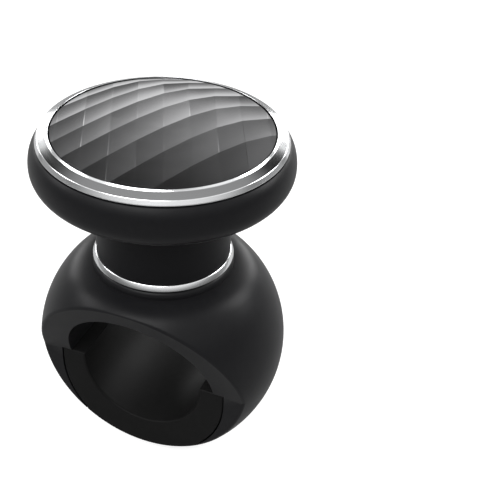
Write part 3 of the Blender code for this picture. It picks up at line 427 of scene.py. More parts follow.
def arc(cx, cz, rx, rz, start, end, steps):
    """Points of an arc or part of an oval, both ends included."""
    angles = [start + (end - start) * i / steps for i in range(steps + 1)]
    return [(cx + rx * cos(a), cz + rz * sin(a)) for a in angles]


def curve(p0, p1, p2, p3, steps):
    points = []
    for i in range(steps + 1):
        t = i / steps
        weights = ((1 - t)**3, 3 * t * (1 - t)**2, 3 * t * t * (1 - t), t**3)
        points.append(tuple(
            sum(w * p[axis] for w, p in zip(weights, (p0, p1, p2, p3))) for axis in (0, 1)))
    return points


SOFT_TURN = radians(20)
SOFT_STEPS = 4
SOFT_SHARE = 0.45          # most of an edge that one softened corner takes
ON_AXIS = 1e-7


def soften(outline, cut):
    """Rounds each real corner of a closed outline. Points on the axis stay."""
    rounded = []
    for i, corner in enumerate(outline):
        here = Vector(corner)
        back = Vector(outline[i - 1]) - here
        ahead = Vector(outline[(i + 1) % len(outline)]) - here
        if corner[0] < ON_AXIS or back.angle(-ahead) < SOFT_TURN:
            rounded.append(corner)
            continue
        reach = min(cut, SOFT_SHARE * back.length, SOFT_SHARE * ahead.length)
        start = here + back.normalized() * reach
        end = here + ahead.normalized() * reach
        for k in range(SOFT_STEPS + 1):
            t = k / SOFT_STEPS
            rounded.append(tuple(start * (1 - t)**2 + here * 2 * t * (1 - t) + end * t * t))
    return rounded


# %% Solids
def turn(outline, around=AROUND):
    """A solid turned round the upright axis from (radius, height) points."""
    bm = bmesh.new()
    verts = [bm.verts.new((r, 0, z)) for r, z in outline]
    edges = [bm.edges.new((verts[i - 1], verts[i])) for i in range(len(verts))]
    bmesh.ops.spin(bm, geom=[*verts, *edges], cent=(0, 0, 0), axis=(0, 0, 1), angle=tau,
                   steps=around, use_merge=True, use_duplicate=False)
    bmesh.ops.remove_doubles(bm, verts=bm.verts, dist=1e-8)
    return bm


def ring(inner, outer, low, high):
    return [(inner, low), (outer, low), (outer, high), (inner, high)]


def peg(radius, low, high, around=SMALL_AROUND):
    return turn(ring(0, radius, low, high), around)


def stack(rows):
    """A solid through rows of points that all have the same count, closed at both ends."""
    bm = bmesh.new()
    rings = [[bm.verts.new(point) for point in row] for row in rows]
    for lower, upper in zip(rings, rings[1:]):
        for i in range(len(lower)):
            bm.faces.new((lower[i - 1], lower[i], upper[i], upper[i - 1]))
    bm.faces.new(rings[0])
    bm.faces.new(list(reversed(rings[-1])))
    return bm


def along_y(outline, low, high):
    """A solid along the bore from (x, z) points."""
    return stack([[(x, y, z) for x, z in outline] for y in (low, high)])


def upright(outline, low, high):
    """A solid along Z from (x, y) points."""
    return stack([[(x, y, z) for x, y in outline] for z in (low, high)])


def hexagon(across_flats):
    corner = across_flats / sqrt(3)
    return [(corner * cos(k * pi / 3), corner * sin(k * pi / 3))
            for k in range(6)]


def join(first, *others):
    for other in others:
        mesh = bpy.data.meshes.new("joined")
        other.to_mesh(mesh)
        other.free()
        first.from_mesh(mesh)
        bpy.data.meshes.remove(mesh)
    return first


def moved(bm, matrix):
    bmesh.ops.transform(bm, matrix=matrix, verts=bm.verts)
    return bm


# %% Pieces and carving
def remove(obj):
    mesh = obj.data
    bpy.data.objects.remove(obj)
    bpy.data.meshes.remove(mesh)


CREASE = radians(28)
UP = Matrix.Translation((0, 0, BALL_CENTRE))


def solid(name, bm, frame=UP):
    """An object of this solid, put in its place."""
    moved(bm, frame)
    bmesh.ops.recalc_face_normals(bm, faces=bm.faces)
    mesh = bpy.data.meshes.new(name)
    bm.to_mesh(mesh)
    bm.free()
    return put(name, mesh)


def carve(piece, tool, operation="DIFFERENCE", frame=UP):
    """Cuts, joins or crosses a piece with another solid, which isn't kept."""
    helper = solid("tool", tool, frame)
    modifier = piece.modifiers.new("carve", "BOOLEAN")
    modifier.operation = operation
    modifier.solver = "EXACT"
    modifier.object = helper
    graph = bpy.context.evaluated_depsgraph_get()
    mesh = bpy.data.meshes.new_from_object(piece.evaluated_get(graph))
    piece.modifiers.clear()
    old = piece.data
    piece.data = mesh
    bpy.data.meshes.remove(old)
    mesh.name = piece.name
    remove(helper)


def fit(piece, material, slot, body, *stands_for, crease=CREASE):
    """Shades and paints a finished piece, and puts it in the place of the model's own nodes."""
    piece.data.shade_smooth()
    piece.data.set_sharp_from_angle(angle=crease)
    piece.data.materials.clear()
    piece.data.materials.append(material)
    weighted = piece.modifiers.new("flat_faces_stay_flat", "WEIGHTED_NORMAL")
    weighted.keep_sharp = True
    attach(piece, body)
    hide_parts(*stands_for)
    print(piece.name, len(piece.data.polygons), "faces")
    return piece


# %% [markdown]
# ## The ball housing
#
# The real housing is one moulding: a ball with a dished valley and a collar on top, two faces cut
# at the front and back, and a bore for the wheel's rim. Moulding such a shape by hand would mean
# fixing hundreds of points where the cuts meet, so it is carved instead, from a turned ball.

# %% Ball and valley
BALL_RADIUS = 0.02525
COLLAR_RADIUS = 0.0140
COLLAR_TOP = 0.0205
COLLAR_HEIGHT = 0.0016
LIP_ROUND = 0.0011
VALLEY_RADIUS = 0.0195     # where the dished valley runs out into the ball
VALLEY_EASE = 0.45         # how far the valley's curve follows its end directions
VALLEY_FALL = 0.12         # slope of the valley at the collar's foot
BALL_STEPS = 90
VALLEY_STEPS = 24
LIP_STEPS = 10
SPINDLE_HOLE = 0.0043


def ball_outline():
    """The whole ball with its collar, from the spindle's hole outwards and down to the flat."""
    foot = (COLLAR_RADIUS, COLLAR_TOP - COLLAR_HEIGHT)
    top = acos(VALLEY_RADIUS / BALL_RADIUS)
    bottom = -asin(BALL_CENTRE / BALL_RADIUS)
    ball = arc(0, 0, BALL_RADIUS, BALL_RADIUS, top, bottom, BALL_STEPS)
    end = ball[0]
    reach = (end[0] - foot[0]) * VALLEY_EASE
    fall = end[0] / end[1]
    length = hypot(1, fall)
    valley = curve(foot, (foot[0] + reach, foot[1] - reach * VALLEY_FALL),
                   (end[0] - reach / length, end[1] + reach * fall / length), end,
                   VALLEY_STEPS)
    lip = arc(COLLAR_RADIUS - LIP_ROUND, COLLAR_TOP - LIP_ROUND, LIP_ROUND, LIP_ROUND,
              pi / 2, 0, LIP_STEPS)
    return [(SPINDLE_HOLE, COLLAR_TOP), *lip, *valley, *ball[1:], (SPINDLE_HOLE, -BALL_CENTRE)]


housing = solid("housing", turn(ball_outline()))
print("ball turned,", len(housing.data.polygons), "faces")

# %% [markdown]
# Two faces are cut at the front and the back. Each is upright below and leans out above, and its
# edge against the ball is rounded by a ring with a hollow side, which follows the edge exactly.

# %% Front and back faces
FLAT_HALF = 0.0108
LEAN = radians(20.5)
CREASE_DROP = 0.0031       # the line between the upright and the leaning face
CUT_REACH = 0.060
EDGE_ROUND = 0.0008
EDGE_STEPS = 5


def face_cutter():
    """Everything in front of the front face and behind the back face."""
    lean = CUT_REACH * tan(LEAN)
    side = [(-FLAT_HALF, -CUT_REACH), (-FLAT_HALF, -CREASE_DROP),
            (-FLAT_HALF - lean, CUT_REACH - CREASE_DROP),
            (-2 * CUT_REACH, CUT_REACH - CREASE_DROP), (-2 * CUT_REACH, -CUT_REACH)]
    return join(*(moved(along_y(side, -CUT_REACH, CUT_REACH), Matrix.Rotation(a, 4, "Z"))
                  for a in (pi / 2, -pi / 2)))


def edge_ring(distance, normal, above):
    """A ring that rounds the edge between the ball and a plane this far from its middle. It is
    kept only above or only below the line between the faces."""
    level = distance - EDGE_ROUND
    centre = Vector((sqrt((BALL_RADIUS - EDGE_ROUND)**2 - level**2), level))
    whole = atan2(centre.x, centre.y)
    step = whole / EDGE_STEPS
    inside = [centre + EDGE_ROUND / cos(step / 2) * Vector((sin(a), cos(a)))
              for a in (step * k for k in range(1, EDGE_STEPS))]
    first, last = step / 2, whole - step / 2
    before = inside[0] - 2 * EDGE_ROUND * Vector((cos(first), -sin(first)))
    after = inside[-1] + 2 * EDGE_ROUND * Vector((cos(last), -sin(last)))
    outer = (after.x + EDGE_ROUND, before.y + EDGE_ROUND)
    cutter = turn([tuple(p) for p in (before, *inside, after, outer)])
    moved(cutter, Vector((0, 0, 1)).rotation_difference(normal).to_matrix().to_4x4())
    cut = bmesh.ops.bisect_plane(
        cutter, geom=[*cutter.verts, *cutter.edges, *cutter.faces],
        plane_co=(0, 0, -CREASE_DROP),
        plane_no=(0, 0, -1 if above else 1), clear_outer=True)["geom_cut"]
    bmesh.ops.holes_fill(cutter, edges=[e for e in cut if isinstance(e, bmesh.types.BMEdge)])
    return cutter


carve(housing, face_cutter())
lean_distance = (FLAT_HALF + CREASE_DROP * tan(LEAN)) * cos(LEAN)
for side in (-1, 1):
    carve(housing, edge_ring(lean_distance, Vector((0, side * cos(LEAN), -sin(LEAN))),
                             True))
    carve(housing, edge_ring(FLAT_HALF, Vector((0, side, 0)), False))
print("faces cut,", len(housing.data.polygons), "faces")

# %% [markdown]
# The bore has an arch above, a step on each side on which the jaw's ends seat, and a mouth below
# that narrows to a hook, so that the jaw can't drop out.

# %% Bore, pad recess and screw holes
ARCH_RADIUS = 0.0160
ARCH_DROP = 0.00225        # the arch's middle below the ball's
JAW_RADIUS = 0.0179
JAW_BORE = 0.0130
JAW_BORE_DROP = 0.0032
JAW_TURN_DROP = 0.0057     # where the jaw's sides start to curve in
JAW_GAP = 0.0004
MOUTH_HALF = 0.0130
JAW_GROWTH = 0.00025       # how much the finer jaw is larger, which leaves a thinner joint
PAD_THICKNESS = 0.0007
PAD_HALF_WIDTH = 0.0105
PAD_HALF_LENGTH = 0.0095
SEAT_GAP = 0.0003
HEAD_TOP = 0.01685         # top of the recess for the spindle's head
HEAD_ACROSS_FLATS = 0.0120
BORE_STEPS = 72
HOOK_STEPS = 24


def hooked_sides(top, radius, mouth):
    """Both sides below an arch: down from the top, hooked in round the turn, out at the mouth."""
    hook = acos(mouth / radius)
    side = arc(0, -JAW_TURN_DROP, radius, radius, pi, pi + hook, HOOK_STEPS)
    left = [(-radius, top), *side, (-mouth, -CUT_REACH)]
    return [*left, *((-x, z) for x, z in reversed(left))]


def bore_outline():
    seat = -CREASE_DROP + JAW_GAP
    start = asin((seat + ARCH_DROP) / ARCH_RADIUS)
    arch = arc(0, -ARCH_DROP, ARCH_RADIUS, ARCH_RADIUS, start, pi - start, BORE_STEPS)
    return [*arch, *hooked_sides(seat, JAW_RADIUS + JAW_GAP, MOUTH_HALF + JAW_GAP)]


def pad_outline(inner, outer, half_width):
    """A strip of the arch's ceiling between two radii."""
    out, into = asin(half_width / outer), asin(half_width / inner)
    upper = arc(0, -ARCH_DROP, outer, outer, pi / 2 - out, pi / 2 + out, BORE_STEPS // 2)
    lower = arc(0, -ARCH_DROP, inner, inner, pi / 2 + into, pi / 2 - into,
                BORE_STEPS // 2)
    return [*upper, *lower]


SCREW_SLOPE = radians(24)
INSERT_BORE = 0.00275
INSERT_RADIUS = 0.0035
INSERT_LEDGE = 0.0005
HOLE_IN = 0.002            # how far a screw hole's cutter runs in and out of the jaw's seat
HOLE_OUT = 0.012


def screw_frame(side):
    """Where a set screw sits: its own Z points out of the housing, from the jaw's seat."""
    out = Vector((side * cos(SCREW_SLOPE), 0, -sin(SCREW_SLOPE)))
    across = Vector((0, 1, 0))
    place = Matrix((across.cross(out), across, out)).transposed().to_4x4()
    place.translation = Vector((0, 0, BALL_CENTRE - JAW_TURN_DROP)) + out * (JAW_RADIUS + JAW_GAP)
    return place


carve(housing, along_y(bore_outline(), -CUT_REACH, CUT_REACH))
recess = pad_outline(ARCH_RADIUS - 2 * PAD_THICKNESS, ARCH_RADIUS + PAD_THICKNESS + SEAT_GAP,
                     PAD_HALF_WIDTH + SEAT_GAP)
recess_half = PAD_HALF_LENGTH + SEAT_GAP
carve(housing, along_y(recess, -recess_half, recess_half))
carve(housing, upright(hexagon(HEAD_ACROSS_FLATS + 2 * SEAT_GAP), 0, HEAD_TOP + SEAT_GAP))
wide = INSERT_RADIUS + SEAT_GAP
for side in (-1, 1):
    hole = turn([(0, -HOLE_IN), (INSERT_BORE, -HOLE_IN), (INSERT_BORE, INSERT_LEDGE),
                 (wide, INSERT_LEDGE), (wide, HOLE_OUT), (0, HOLE_OUT)], SMALL_AROUND)
    carve(housing, hole, frame=screw_frame(side))
fit(housing, housing_plastic, "housing", "base", "base_housing")

# %% [markdown]
# ## The jaw
#
# The jaw is a U that slides in from the back and closes the bore under the wheel's rim. Its
# outside follows the ball, so it is crossed with the ball's own shape after its U has been drawn
# out along the bore. A lip at its back end stops it against the housing.

# %% Jaw
JAW_BACK = 0.0124
JAW_ROUND = 0.0005
LIP_REACH = 0.0012
LIP_TOP_DROP = 0.0004
LIP_BORE_STEP = 0.00245    # the lip's inside, out from the jaw's own
JAW_BALL_STEPS = 120


def u_outline(top, bore, outer, mouth):
    """A U from the front, with ends at this height and sides hooked in to the mouth."""
    start = asin((top + JAW_BORE_DROP) / bore)
    inner = arc(0, -JAW_BORE_DROP, bore, bore, start, -pi - start, BORE_STEPS)
    return [*inner, *hooked_sides(top, outer, mouth)]


def jaw_row(y, inset):
    grown = JAW_GROWTH - inset
    return [(x, y, z) for x, z in u_outline(-CREASE_DROP + grown, JAW_BORE + inset,
                                            JAW_RADIUS + grown, MOUTH_HALF + grown)]


turns = [pi / 2 * k / SOFT_STEPS for k in range(SOFT_STEPS + 1)]
insets = [(JAW_ROUND * (1 - cos(a)), JAW_ROUND * (1 - sin(a))) for a in turns]
rows = [jaw_row(-FLAT_HALF + depth, inset) for depth, inset in insets]
rows += [jaw_row(JAW_BACK - depth, inset) for depth, inset in reversed(insets)]
jaw = solid("jaw", stack(rows))
lip = u_outline(-CREASE_DROP - LIP_TOP_DROP, JAW_BORE + LIP_BORE_STEP, JAW_RADIUS + LIP_REACH,
                MOUTH_HALF + LIP_REACH)
carve(jaw, along_y(lip, FLAT_HALF + SEAT_GAP, JAW_BACK - JAW_ROUND), "UNION")
bottom = -asin(BALL_CENTRE / BALL_RADIUS)
whole_ball = [*arc(0, 0, BALL_RADIUS, BALL_RADIUS, pi / 2, bottom, JAW_BALL_STEPS),
              (0, -BALL_CENTRE)]
carve(jaw, turn(whole_ball), "INTERSECT")
carve(jaw, edge_ring(FLAT_HALF, Vector((0, -1, 0)), False))
carve(jaw, edge_ring(JAW_BACK, Vector((0, 1, 0)), False))
fit(jaw, jaw_plastic, "jaw", "jaw", "clamp_jaw")

# %% [markdown]
# ## The knob's shell
#
# The shell is the part that the palm holds: a flat bowl with a fat rounded rim. One outline, from
# the trim ring's edge over the rim and back under to the neck, gives the whole turned shape.

# %% Shell
TRIM_RADIUS = 0.0235
RIM_RADIUS = 0.0250
RIM_ROUND = 0.0048
RIM_DROP = 0.00425         # the rim's widest ring, below the shell's top
RIM_SHOULDER = Vector((-0.0006, -0.0009))  # guide point of the curve up to the trim ring
RIM_EASE = 0.45
SHELL_BOTTOM = 0.0372
SHELL_TOP = 0.04605
SHELL_FLOOR = 0.0394
SHELL_MOUTH = 0.0222
SHELL_BORE = 0.0212
LEDGE_TOP = 0.0426
NECK_RADIUS = 0.01325
SLEEVE_SCREW_CIRCLE = 0.0155
SLEEVE_SCREW_RADIUS = 0.00125
SLEEVE_SCREW_COUNT = 3
SCREW_HOLE_DEPTH = 0.0014
OVERRUN = 0.001            # how far a small cutter runs past a face
MOUTH_STEP = 0.00005
MOULD_EDGE = 0.00012       # softened corners of a moulding
FINE_EDGE = 0.0001
SCREW_HOLE_AROUND = 24

widest = SHELL_TOP - RIM_DROP
upper = curve((TRIM_RADIUS + MOUTH_STEP, SHELL_TOP),
              Vector((RIM_RADIUS, SHELL_TOP)) + RIM_SHOULDER,
              (RIM_RADIUS, widest + RIM_EASE * RIM_DROP), (RIM_RADIUS, widest), 20)
lower = arc(RIM_RADIUS - RIM_ROUND, widest, RIM_ROUND, widest - SHELL_BOTTOM, 0, -pi / 2,
            28)
hole_edge = NECK_RADIUS + SEAT_GAP
inside = [(hole_edge, SHELL_BOTTOM), (hole_edge, SHELL_FLOOR),
          (SHELL_BORE, SHELL_FLOOR), (SHELL_BORE, LEDGE_TOP), (SHELL_MOUTH, LEDGE_TOP),
          (SHELL_MOUTH, SHELL_TOP)]
shell = solid("shell", turn(soften([*upper, *lower[1:], *inside], MOULD_EDGE)))


def sleeve_screw_place(index, height):
    return (Matrix.Rotation(tau * (index + 0.5) / SLEEVE_SCREW_COUNT, 4, "Z")
            @ Matrix.Translation((SLEEVE_SCREW_CIRCLE, 0, height)))


def screw_hole(index, low, high):
    return moved(peg(SLEEVE_SCREW_RADIUS + SEAT_GAP, low, high, SCREW_HOLE_AROUND),
                 sleeve_screw_place(index, 0))


for index in range(SLEEVE_SCREW_COUNT):
    carve(shell, screw_hole(index, SHELL_FLOOR - SCREW_HOLE_DEPTH, SHELL_FLOOR + OVERRUN))
fit(shell, shell_plastic, "shell", "knob", "knob_shell")

# %% [markdown]
# ## The trim ring
#
# A bright ring frames the disc. From the inside it has a narrow raised lip, a sloping band and a
# steep outer bevel, and each of them mirrors another part of the room, so the ring reads as
# three lines of different brightness.

# %% Trim ring
DISC_RADIUS = 0.0207
DISC_FACE = 0.0480
TRIM_BORE = DISC_RADIUS + SEAT_GAP
SKIRT_WALL = 0.0009
SKIRT_LOW = 0.0445
TRIM_DROP = 0.00165        # the ring's outer edge below the disc's face
TRIM_LIP_RISE = 0.0002
TRIM_LIP_WIDTH = 0.0004
TRIM_LIP_FALL = 0.00036
BAND_FALL = 0.00056
BEVEL_WIDTH = 0.00045
EDGE_WALL = 0.00012
LIP_CORNER = 0.00006

skirt_radius = TRIM_BORE + SKIRT_WALL
trim_edge = DISC_FACE - TRIM_DROP
lip_top = DISC_FACE + TRIM_LIP_RISE
lip_end = TRIM_BORE + TRIM_LIP_WIDTH
lip_low = lip_top - TRIM_LIP_FALL
band_end = TRIM_RADIUS - BEVEL_WIDTH
band_low = lip_low - BAND_FALL
trim_outline = [
    (TRIM_BORE, SKIRT_LOW), (skirt_radius, SKIRT_LOW), (skirt_radius, trim_edge),
    (TRIM_RADIUS, trim_edge), (TRIM_RADIUS, trim_edge + EDGE_WALL), (band_end, band_low),
    (lip_end, lip_low), (TRIM_BORE + LIP_CORNER, lip_top), (TRIM_BORE, lip_top - LIP_CORNER),
]
trim = solid("trim_ring", turn(soften(trim_outline, MOULD_EDGE)))
fit(trim, bright_trim, "trim", "knob", "knob_trim_ring")

# %% [markdown]
# ## The faceted disc
#
# The disc is a smoked, half-mirror plate with shallow curved bands. Each band is hollow, like a
# stretched spoon, and stops at a fine step before the next. Straight lines cut the bands into
# facets, each leaning a little differently. All of it is real relief, a tenth of a millimetre.

# %% Disc
DISC_BACK = 0.0464
BANDS = 10
COLUMNS = 10
COLUMN_WIDTH = 0.0049
BAND_STEPS = 8
COLUMN_STEPS = 4
RELIEF = 0.00007
FULL_BAND = 0.0040         # a band this wide or wider has the whole relief
TILT = 0.000036            # how much deeper a facet's front edge may lie
ROLL = 0.00001             # and how much deeper one of its sides
STEP_WIDTH = 0.00003       # plan width of the step behind each band
COLUMN_STEP = 0.00018      # and of the slope from one facet to the next beside it
FACET_CREASE = radians(0.7)
FRONT_SPARE = 0.0002       # how far the block runs past its first band
CREST_X = -0.0039          # crest of the farthest band's curve
CREST_STEP = 0.0039
CREST_FALL = 0.000455
CURVE_WIDTH = 0.0166
CURVE_DROP = 0.0230


def band_edge(x, band):
    """How far back a band's far edge lies at this x."""
    if band < 0:
        return DISC_RADIUS + COLUMN_WIDTH
    spread = hypot(1, min(0, x - CREST_X - band * CREST_STEP) / CURVE_WIDTH) - 1
    return DISC_RADIUS - CREST_FALL * band**2 - CURVE_DROP * spread


def column_place(column):
    return (column - COLUMNS / 2) * COLUMN_WIDTH


def facet_edge(x, column, band):
    """A band's far edge in one column: straight between the column's two seams."""
    left, right = column_place(column), column_place(column + 1)
    share = (x - left) / COLUMN_WIDTH
    return (1 - share) * band_edge(left, band) + share * band_edge(right, band)


def lean(column, band):
    """A share from 0 to 1 that differs from facet to facet, always in the same way."""
    return (1 + sin(2.4 * column + 1.7 * band) * cos(1.1 * column - 0.6 * band)) / 2


def facet_rows():
    """Rows of points from the front to the back. Each band rises in a hollow curve, and each
    facet of a band has its own tilt and roll."""
    rows = []
    for band in reversed(range(BANDS)):
        for step in range(BAND_STEPS + 1):
            t = step / BAND_STEPS
            row = []
            for column in range(COLUMNS):
                tilt = TILT * lean(column, band)
                roll = ROLL * lean(column + 5, band + 3)
                for k in range(COLUMN_STEPS + 1):
                    share = k / COLUMN_STEPS
                    x = (column_place(column) + COLUMN_STEP / 2
                         + share * (COLUMN_WIDTH - COLUMN_STEP))
                    front = facet_edge(x, column, band) + STEP_WIDTH
                    back = facet_edge(x, column, band - 1)
                    depth = min(1, (back - front) / FULL_BAND)
                    fall = depth * (RELIEF * (1 - t * t) + tilt * (1 - t)) + roll * share
                    row.append((x, front + (back - front) * t, DISC_FACE - fall))
            rows.append(row)
    return rows


def faceted_block():
    rows = facet_rows()
    rows.insert(0, [(x, y - FRONT_SPARE, z) for x, y, z in rows[0]])
    below = DISC_BACK - OVERRUN
    return stack([[*row, (*row[-1][:2], below), (*row[0][:2], below)] for row in rows])


disc = solid("disc", faceted_block(), UP @ Matrix.Rotation(CAMERA_SIDE, 4, "Z"))
blank = turn(soften(ring(0, DISC_RADIUS, DISC_BACK, DISC_FACE + OVERRUN), FINE_EDGE))
carve(disc, blank, "INTERSECT")
fit(disc, smoked_disc, "disc", "knob", "faceted_disc", crease=FACET_CREASE)

# %% [markdown]
# ## The neck
#
# The neck is a plain sleeve that hides the bearing, with a fine bright ring at its foot. Its
# corners are softened like those of every moulding, since a truly sharp edge never catches light.

# %% Neck sleeve and ring
RING_LOW = 0.0208
RING_HIGH = 0.0220
RACE_LOW = 0.0240
RACE_HIGH = 0.0310
POCKET = 0.0113            # bore of the bearing's seat
FLANGE_LOW = SHELL_FLOOR + SEAT_GAP
FLANGE_THICKNESS = 0.0015
FLANGE_HIGH = FLANGE_LOW + FLANGE_THICKNESS
FLANGE_RADIUS = 0.01775
SPIGOT = NECK_RADIUS - 0.00095         # the sleeve inside the bright ring
CLIP_THICKNESS = 0.0011
CLIP_GROOVE = POCKET + 0.0009
SHOULDER_LOW = RACE_HIGH + SEAT_GAP
SHOULDER_HIGH = SHOULDER_LOW + 0.0022
SHOULDER_BORE = 0.0096
FOOT_LIFT = 0.00012
LEAD_IN = 0.0003
RING_PROUD = 0.0001
RING_FLARE = 0.00062
RING_EDGE = 0.00018
SLEEVE_AROUND = 160

foot = RING_LOW + FOOT_LIFT
groove_low = RACE_LOW - CLIP_THICKNESS - 2 * SEAT_GAP
sleeve_outline = [
    (POCKET + LEAD_IN, foot), (SPIGOT, foot), (SPIGOT, RING_HIGH), (NECK_RADIUS, RING_HIGH),
    (NECK_RADIUS, FLANGE_LOW), (FLANGE_RADIUS, FLANGE_LOW), (FLANGE_RADIUS, FLANGE_HIGH),
    (POCKET, FLANGE_HIGH), (POCKET, SHOULDER_HIGH), (SHOULDER_BORE, SHOULDER_HIGH),
    (SHOULDER_BORE, SHOULDER_LOW), (POCKET, SHOULDER_LOW), (POCKET, RACE_LOW),
    (CLIP_GROOVE, RACE_LOW), (CLIP_GROOVE, groove_low), (POCKET, groove_low),
    (POCKET, foot + LEAD_IN),
]
sleeve = solid("sleeve", turn(soften(sleeve_outline, FINE_EDGE), SLEEVE_AROUND))
for index in range(SLEEVE_SCREW_COUNT):
    carve(sleeve, screw_hole(index, FLANGE_LOW - OVERRUN, FLANGE_HIGH + OVERRUN))
fit(sleeve, neck_plastic, "neck", "knob", "neck_sleeve")

ring_bore = SPIGOT + SEAT_GAP
ring_radius = NECK_RADIUS + RING_PROUD
ring_top = RING_HIGH - RING_PROUD
ring_outline = [(ring_bore, RING_LOW), (ring_radius + RING_FLARE, RING_LOW),
                (ring_radius, ring_top), (ring_bore, ring_top)]
neck_ring = solid("neck_ring", turn(soften(ring_outline, RING_EDGE)))
fit(neck_ring, bright_trim, "trim", "knob", "neck_trim_ring")

# %% [markdown]
# ## Threads
#
# A thread is a groove that climbs evenly as it goes round. Each ring of points along the screw is
# pulled in by how near it is to the groove at that angle, and the ends run out in a chamfer.

# %% Threaded rods
ROWS_A_TURN = 10
THREAD_DEPTH = 0.54        # over the pitch
RING_AROUND = 96
GROUND_EDGE = 0.0002       # softened corners of a turned steel ring


def rod(low, high, levels, around, radius_at):
    """A rod whose radius comes from radius_at, for each level and each step round it."""
    rows = []
    for i in range(levels + 1):
        z = low + (high - low) * i / levels
        row = []
        for k in range(around):
            r, a = radius_at(i, z, k), tau * k / around
            row.append((r * cos(a), r * sin(a), z))
        rows.append(row)
    return stack(rows)


def threaded(radius, low, high, start, pitch, lead_low, lead_high, around=SMALL_AROUND):
    """A rod from low to high, threaded above start."""
    def radius_at(_, z, k):
        run_out = max(lead_low - (z - low), lead_high - (high - z), 0)
        share = (z / pitch - k / around) % 1
        groove = THREAD_DEPTH * pitch * (1 - abs(2 * share - 1)) if z > start else 0
        return radius - max(groove, run_out)

    levels = ceil((high - low) / pitch * ROWS_A_TURN)
    return rod(low, high, levels, around, radius_at)


def turned_ring(name, outline, material, slot, body, node, around=RING_AROUND):
    return fit(solid(name, turn(soften(outline, GROUND_EDGE), around)), material, slot, body, node)


# %% [markdown]
# ## The set screws and their inserts
#
# A set screw on each side presses on the jaw. It is a short threaded rod with a cone at its tip
# and a hexagonal socket. Its brass insert is knurled, in two bands with a groove between them, so
# that the plastic moulded round it holds it fast.

# %% Set screws
SET_SCREW_RADIUS = 0.0025
SET_SCREW_LENGTH = 0.0040
SET_SCREW_PITCH = 0.0008
SOCKET = 0.0025            # across the socket's flats
SOCKET_DEPTH = 0.0021
SOCKET_MOUTH = 0.62        # radius of the cone at the socket's mouth, over its flats
SOCKET_RISE = 0.0005       # how far that cone's cutter stands out of the screw
TIP_LEAD = 0.00075
END_LEAD = 0.0003

for side, word in ((-1, "left"), (1, "right")):
    place = screw_frame(side)
    grub = solid(f"{word}_grub_screw", threaded(
        SET_SCREW_RADIUS, 0, SET_SCREW_LENGTH, 0, SET_SCREW_PITCH, TIP_LEAD, END_LEAD), place)
    carve(grub, upright(hexagon(SOCKET), SET_SCREW_LENGTH - SOCKET_DEPTH,
                        SET_SCREW_LENGTH + 2 * OVERRUN), frame=place)
    mouth = SOCKET * SOCKET_MOUTH
    above = SET_SCREW_LENGTH + SOCKET_RISE
    cone = [(0, SET_SCREW_LENGTH - mouth), (mouth + SOCKET_RISE, above), (0, above)]
    carve(grub, turn(cone, SMALL_AROUND), frame=place)
    fit(grub, black_steel, "black_steel", f"{word}_screw", f"set_screw_{word}")


# %% Brass inserts
INSERT_LENGTH = 0.0030
BORE_FLARE = 0.0008
KNURLS = 28
KNURL_AROUND = 8 * KNURLS
KNURL_LEVELS = 24
KNURL_DEPTH = 0.00016
KNURL_GROOVE = 0.0002
KNURL_SLANT = 0.0012       # height in which a ridge moves on by one


def knurled(radius, low, high):
    """A rod with slanting ridges, which run out at its ends and at a groove half way up."""
    def radius_at(i, z, k):
        edge = min(i, KNURL_LEVELS - i, abs(i - KNURL_LEVELS / 2)) / 2
        ridge = (k * KNURLS / KNURL_AROUND + z / KNURL_SLANT) % 1
        cut = KNURL_DEPTH * abs(2 * ridge - 1) + KNURL_GROOVE * max(0, 1 - edge)
        return radius - cut

    return rod(low, high, KNURL_LEVELS, KNURL_AROUND, radius_at)


for side, word in ((-1, "left"), (1, "right")):
    low_end = INSERT_LEDGE + SEAT_GAP
    high_end = low_end + INSERT_LENGTH
    insert = solid(f"{word}_brass_insert", knurled(INSERT_RADIUS, low_end, high_end),
                   screw_frame(side))
    bore = [(0, low_end - OVERRUN), (INSERT_BORE + BORE_FLARE, low_end - OVERRUN / 2),
            (INSERT_BORE, low_end + END_LEAD), (INSERT_BORE, high_end - END_LEAD),
            (INSERT_BORE + BORE_FLARE, high_end + OVERRUN / 2), (0, high_end + OVERRUN)]
    carve(insert, turn(bore, SMALL_AROUND), frame=screw_frame(side))
    fit(insert, insert_brass, "brass", "base", f"thread_insert_{word}")

# %% [markdown]
# ## The spindle and its stack
#
# The spindle is a hexagon-headed bolt that comes up through the housing. A spacer, the bearing's
# inner ring, a washer and a nut are stacked on it. Only its last stretch, where the nut runs, is
# threaded.

# %% Spindle, spacer, washer and nut
SPINDLE_RADIUS = 0.0040
SPINDLE_PITCH = 0.00125
HEAD_LOW = 0.01505
SPACER_LOW = COLLAR_TOP + SEAT_GAP
SPACER_HEIGHT = 0.0029
SPACER_WALL = 0.0019
WASHER_LOW = RACE_HIGH + SEAT_GAP
WASHER_HIGH = WASHER_LOW + 0.0008
WASHER_WALL = 0.0026
NUT_LOW = WASHER_HIGH + SEAT_GAP
NUT_HIGH = NUT_LOW + 0.0040
NUT_ACROSS_FLATS = 0.0130
SPINDLE_TOP = NUT_HIGH + 0.0012
SPINDLE_LEAD = 0.0006
SPINDLE_AROUND = 64
SHANK_START = 0.0004       # the shank starts this far inside the head
ON_SPINDLE = SPINDLE_RADIUS + SEAT_GAP
HEX_FACE = 0.97            # round face of a head or nut over its flats
HEX_FALL = 0.6             # fall of its turned corners over their reach
HEX_SPARE = 0.0001         # the blank's radius outside the hexagon's corners


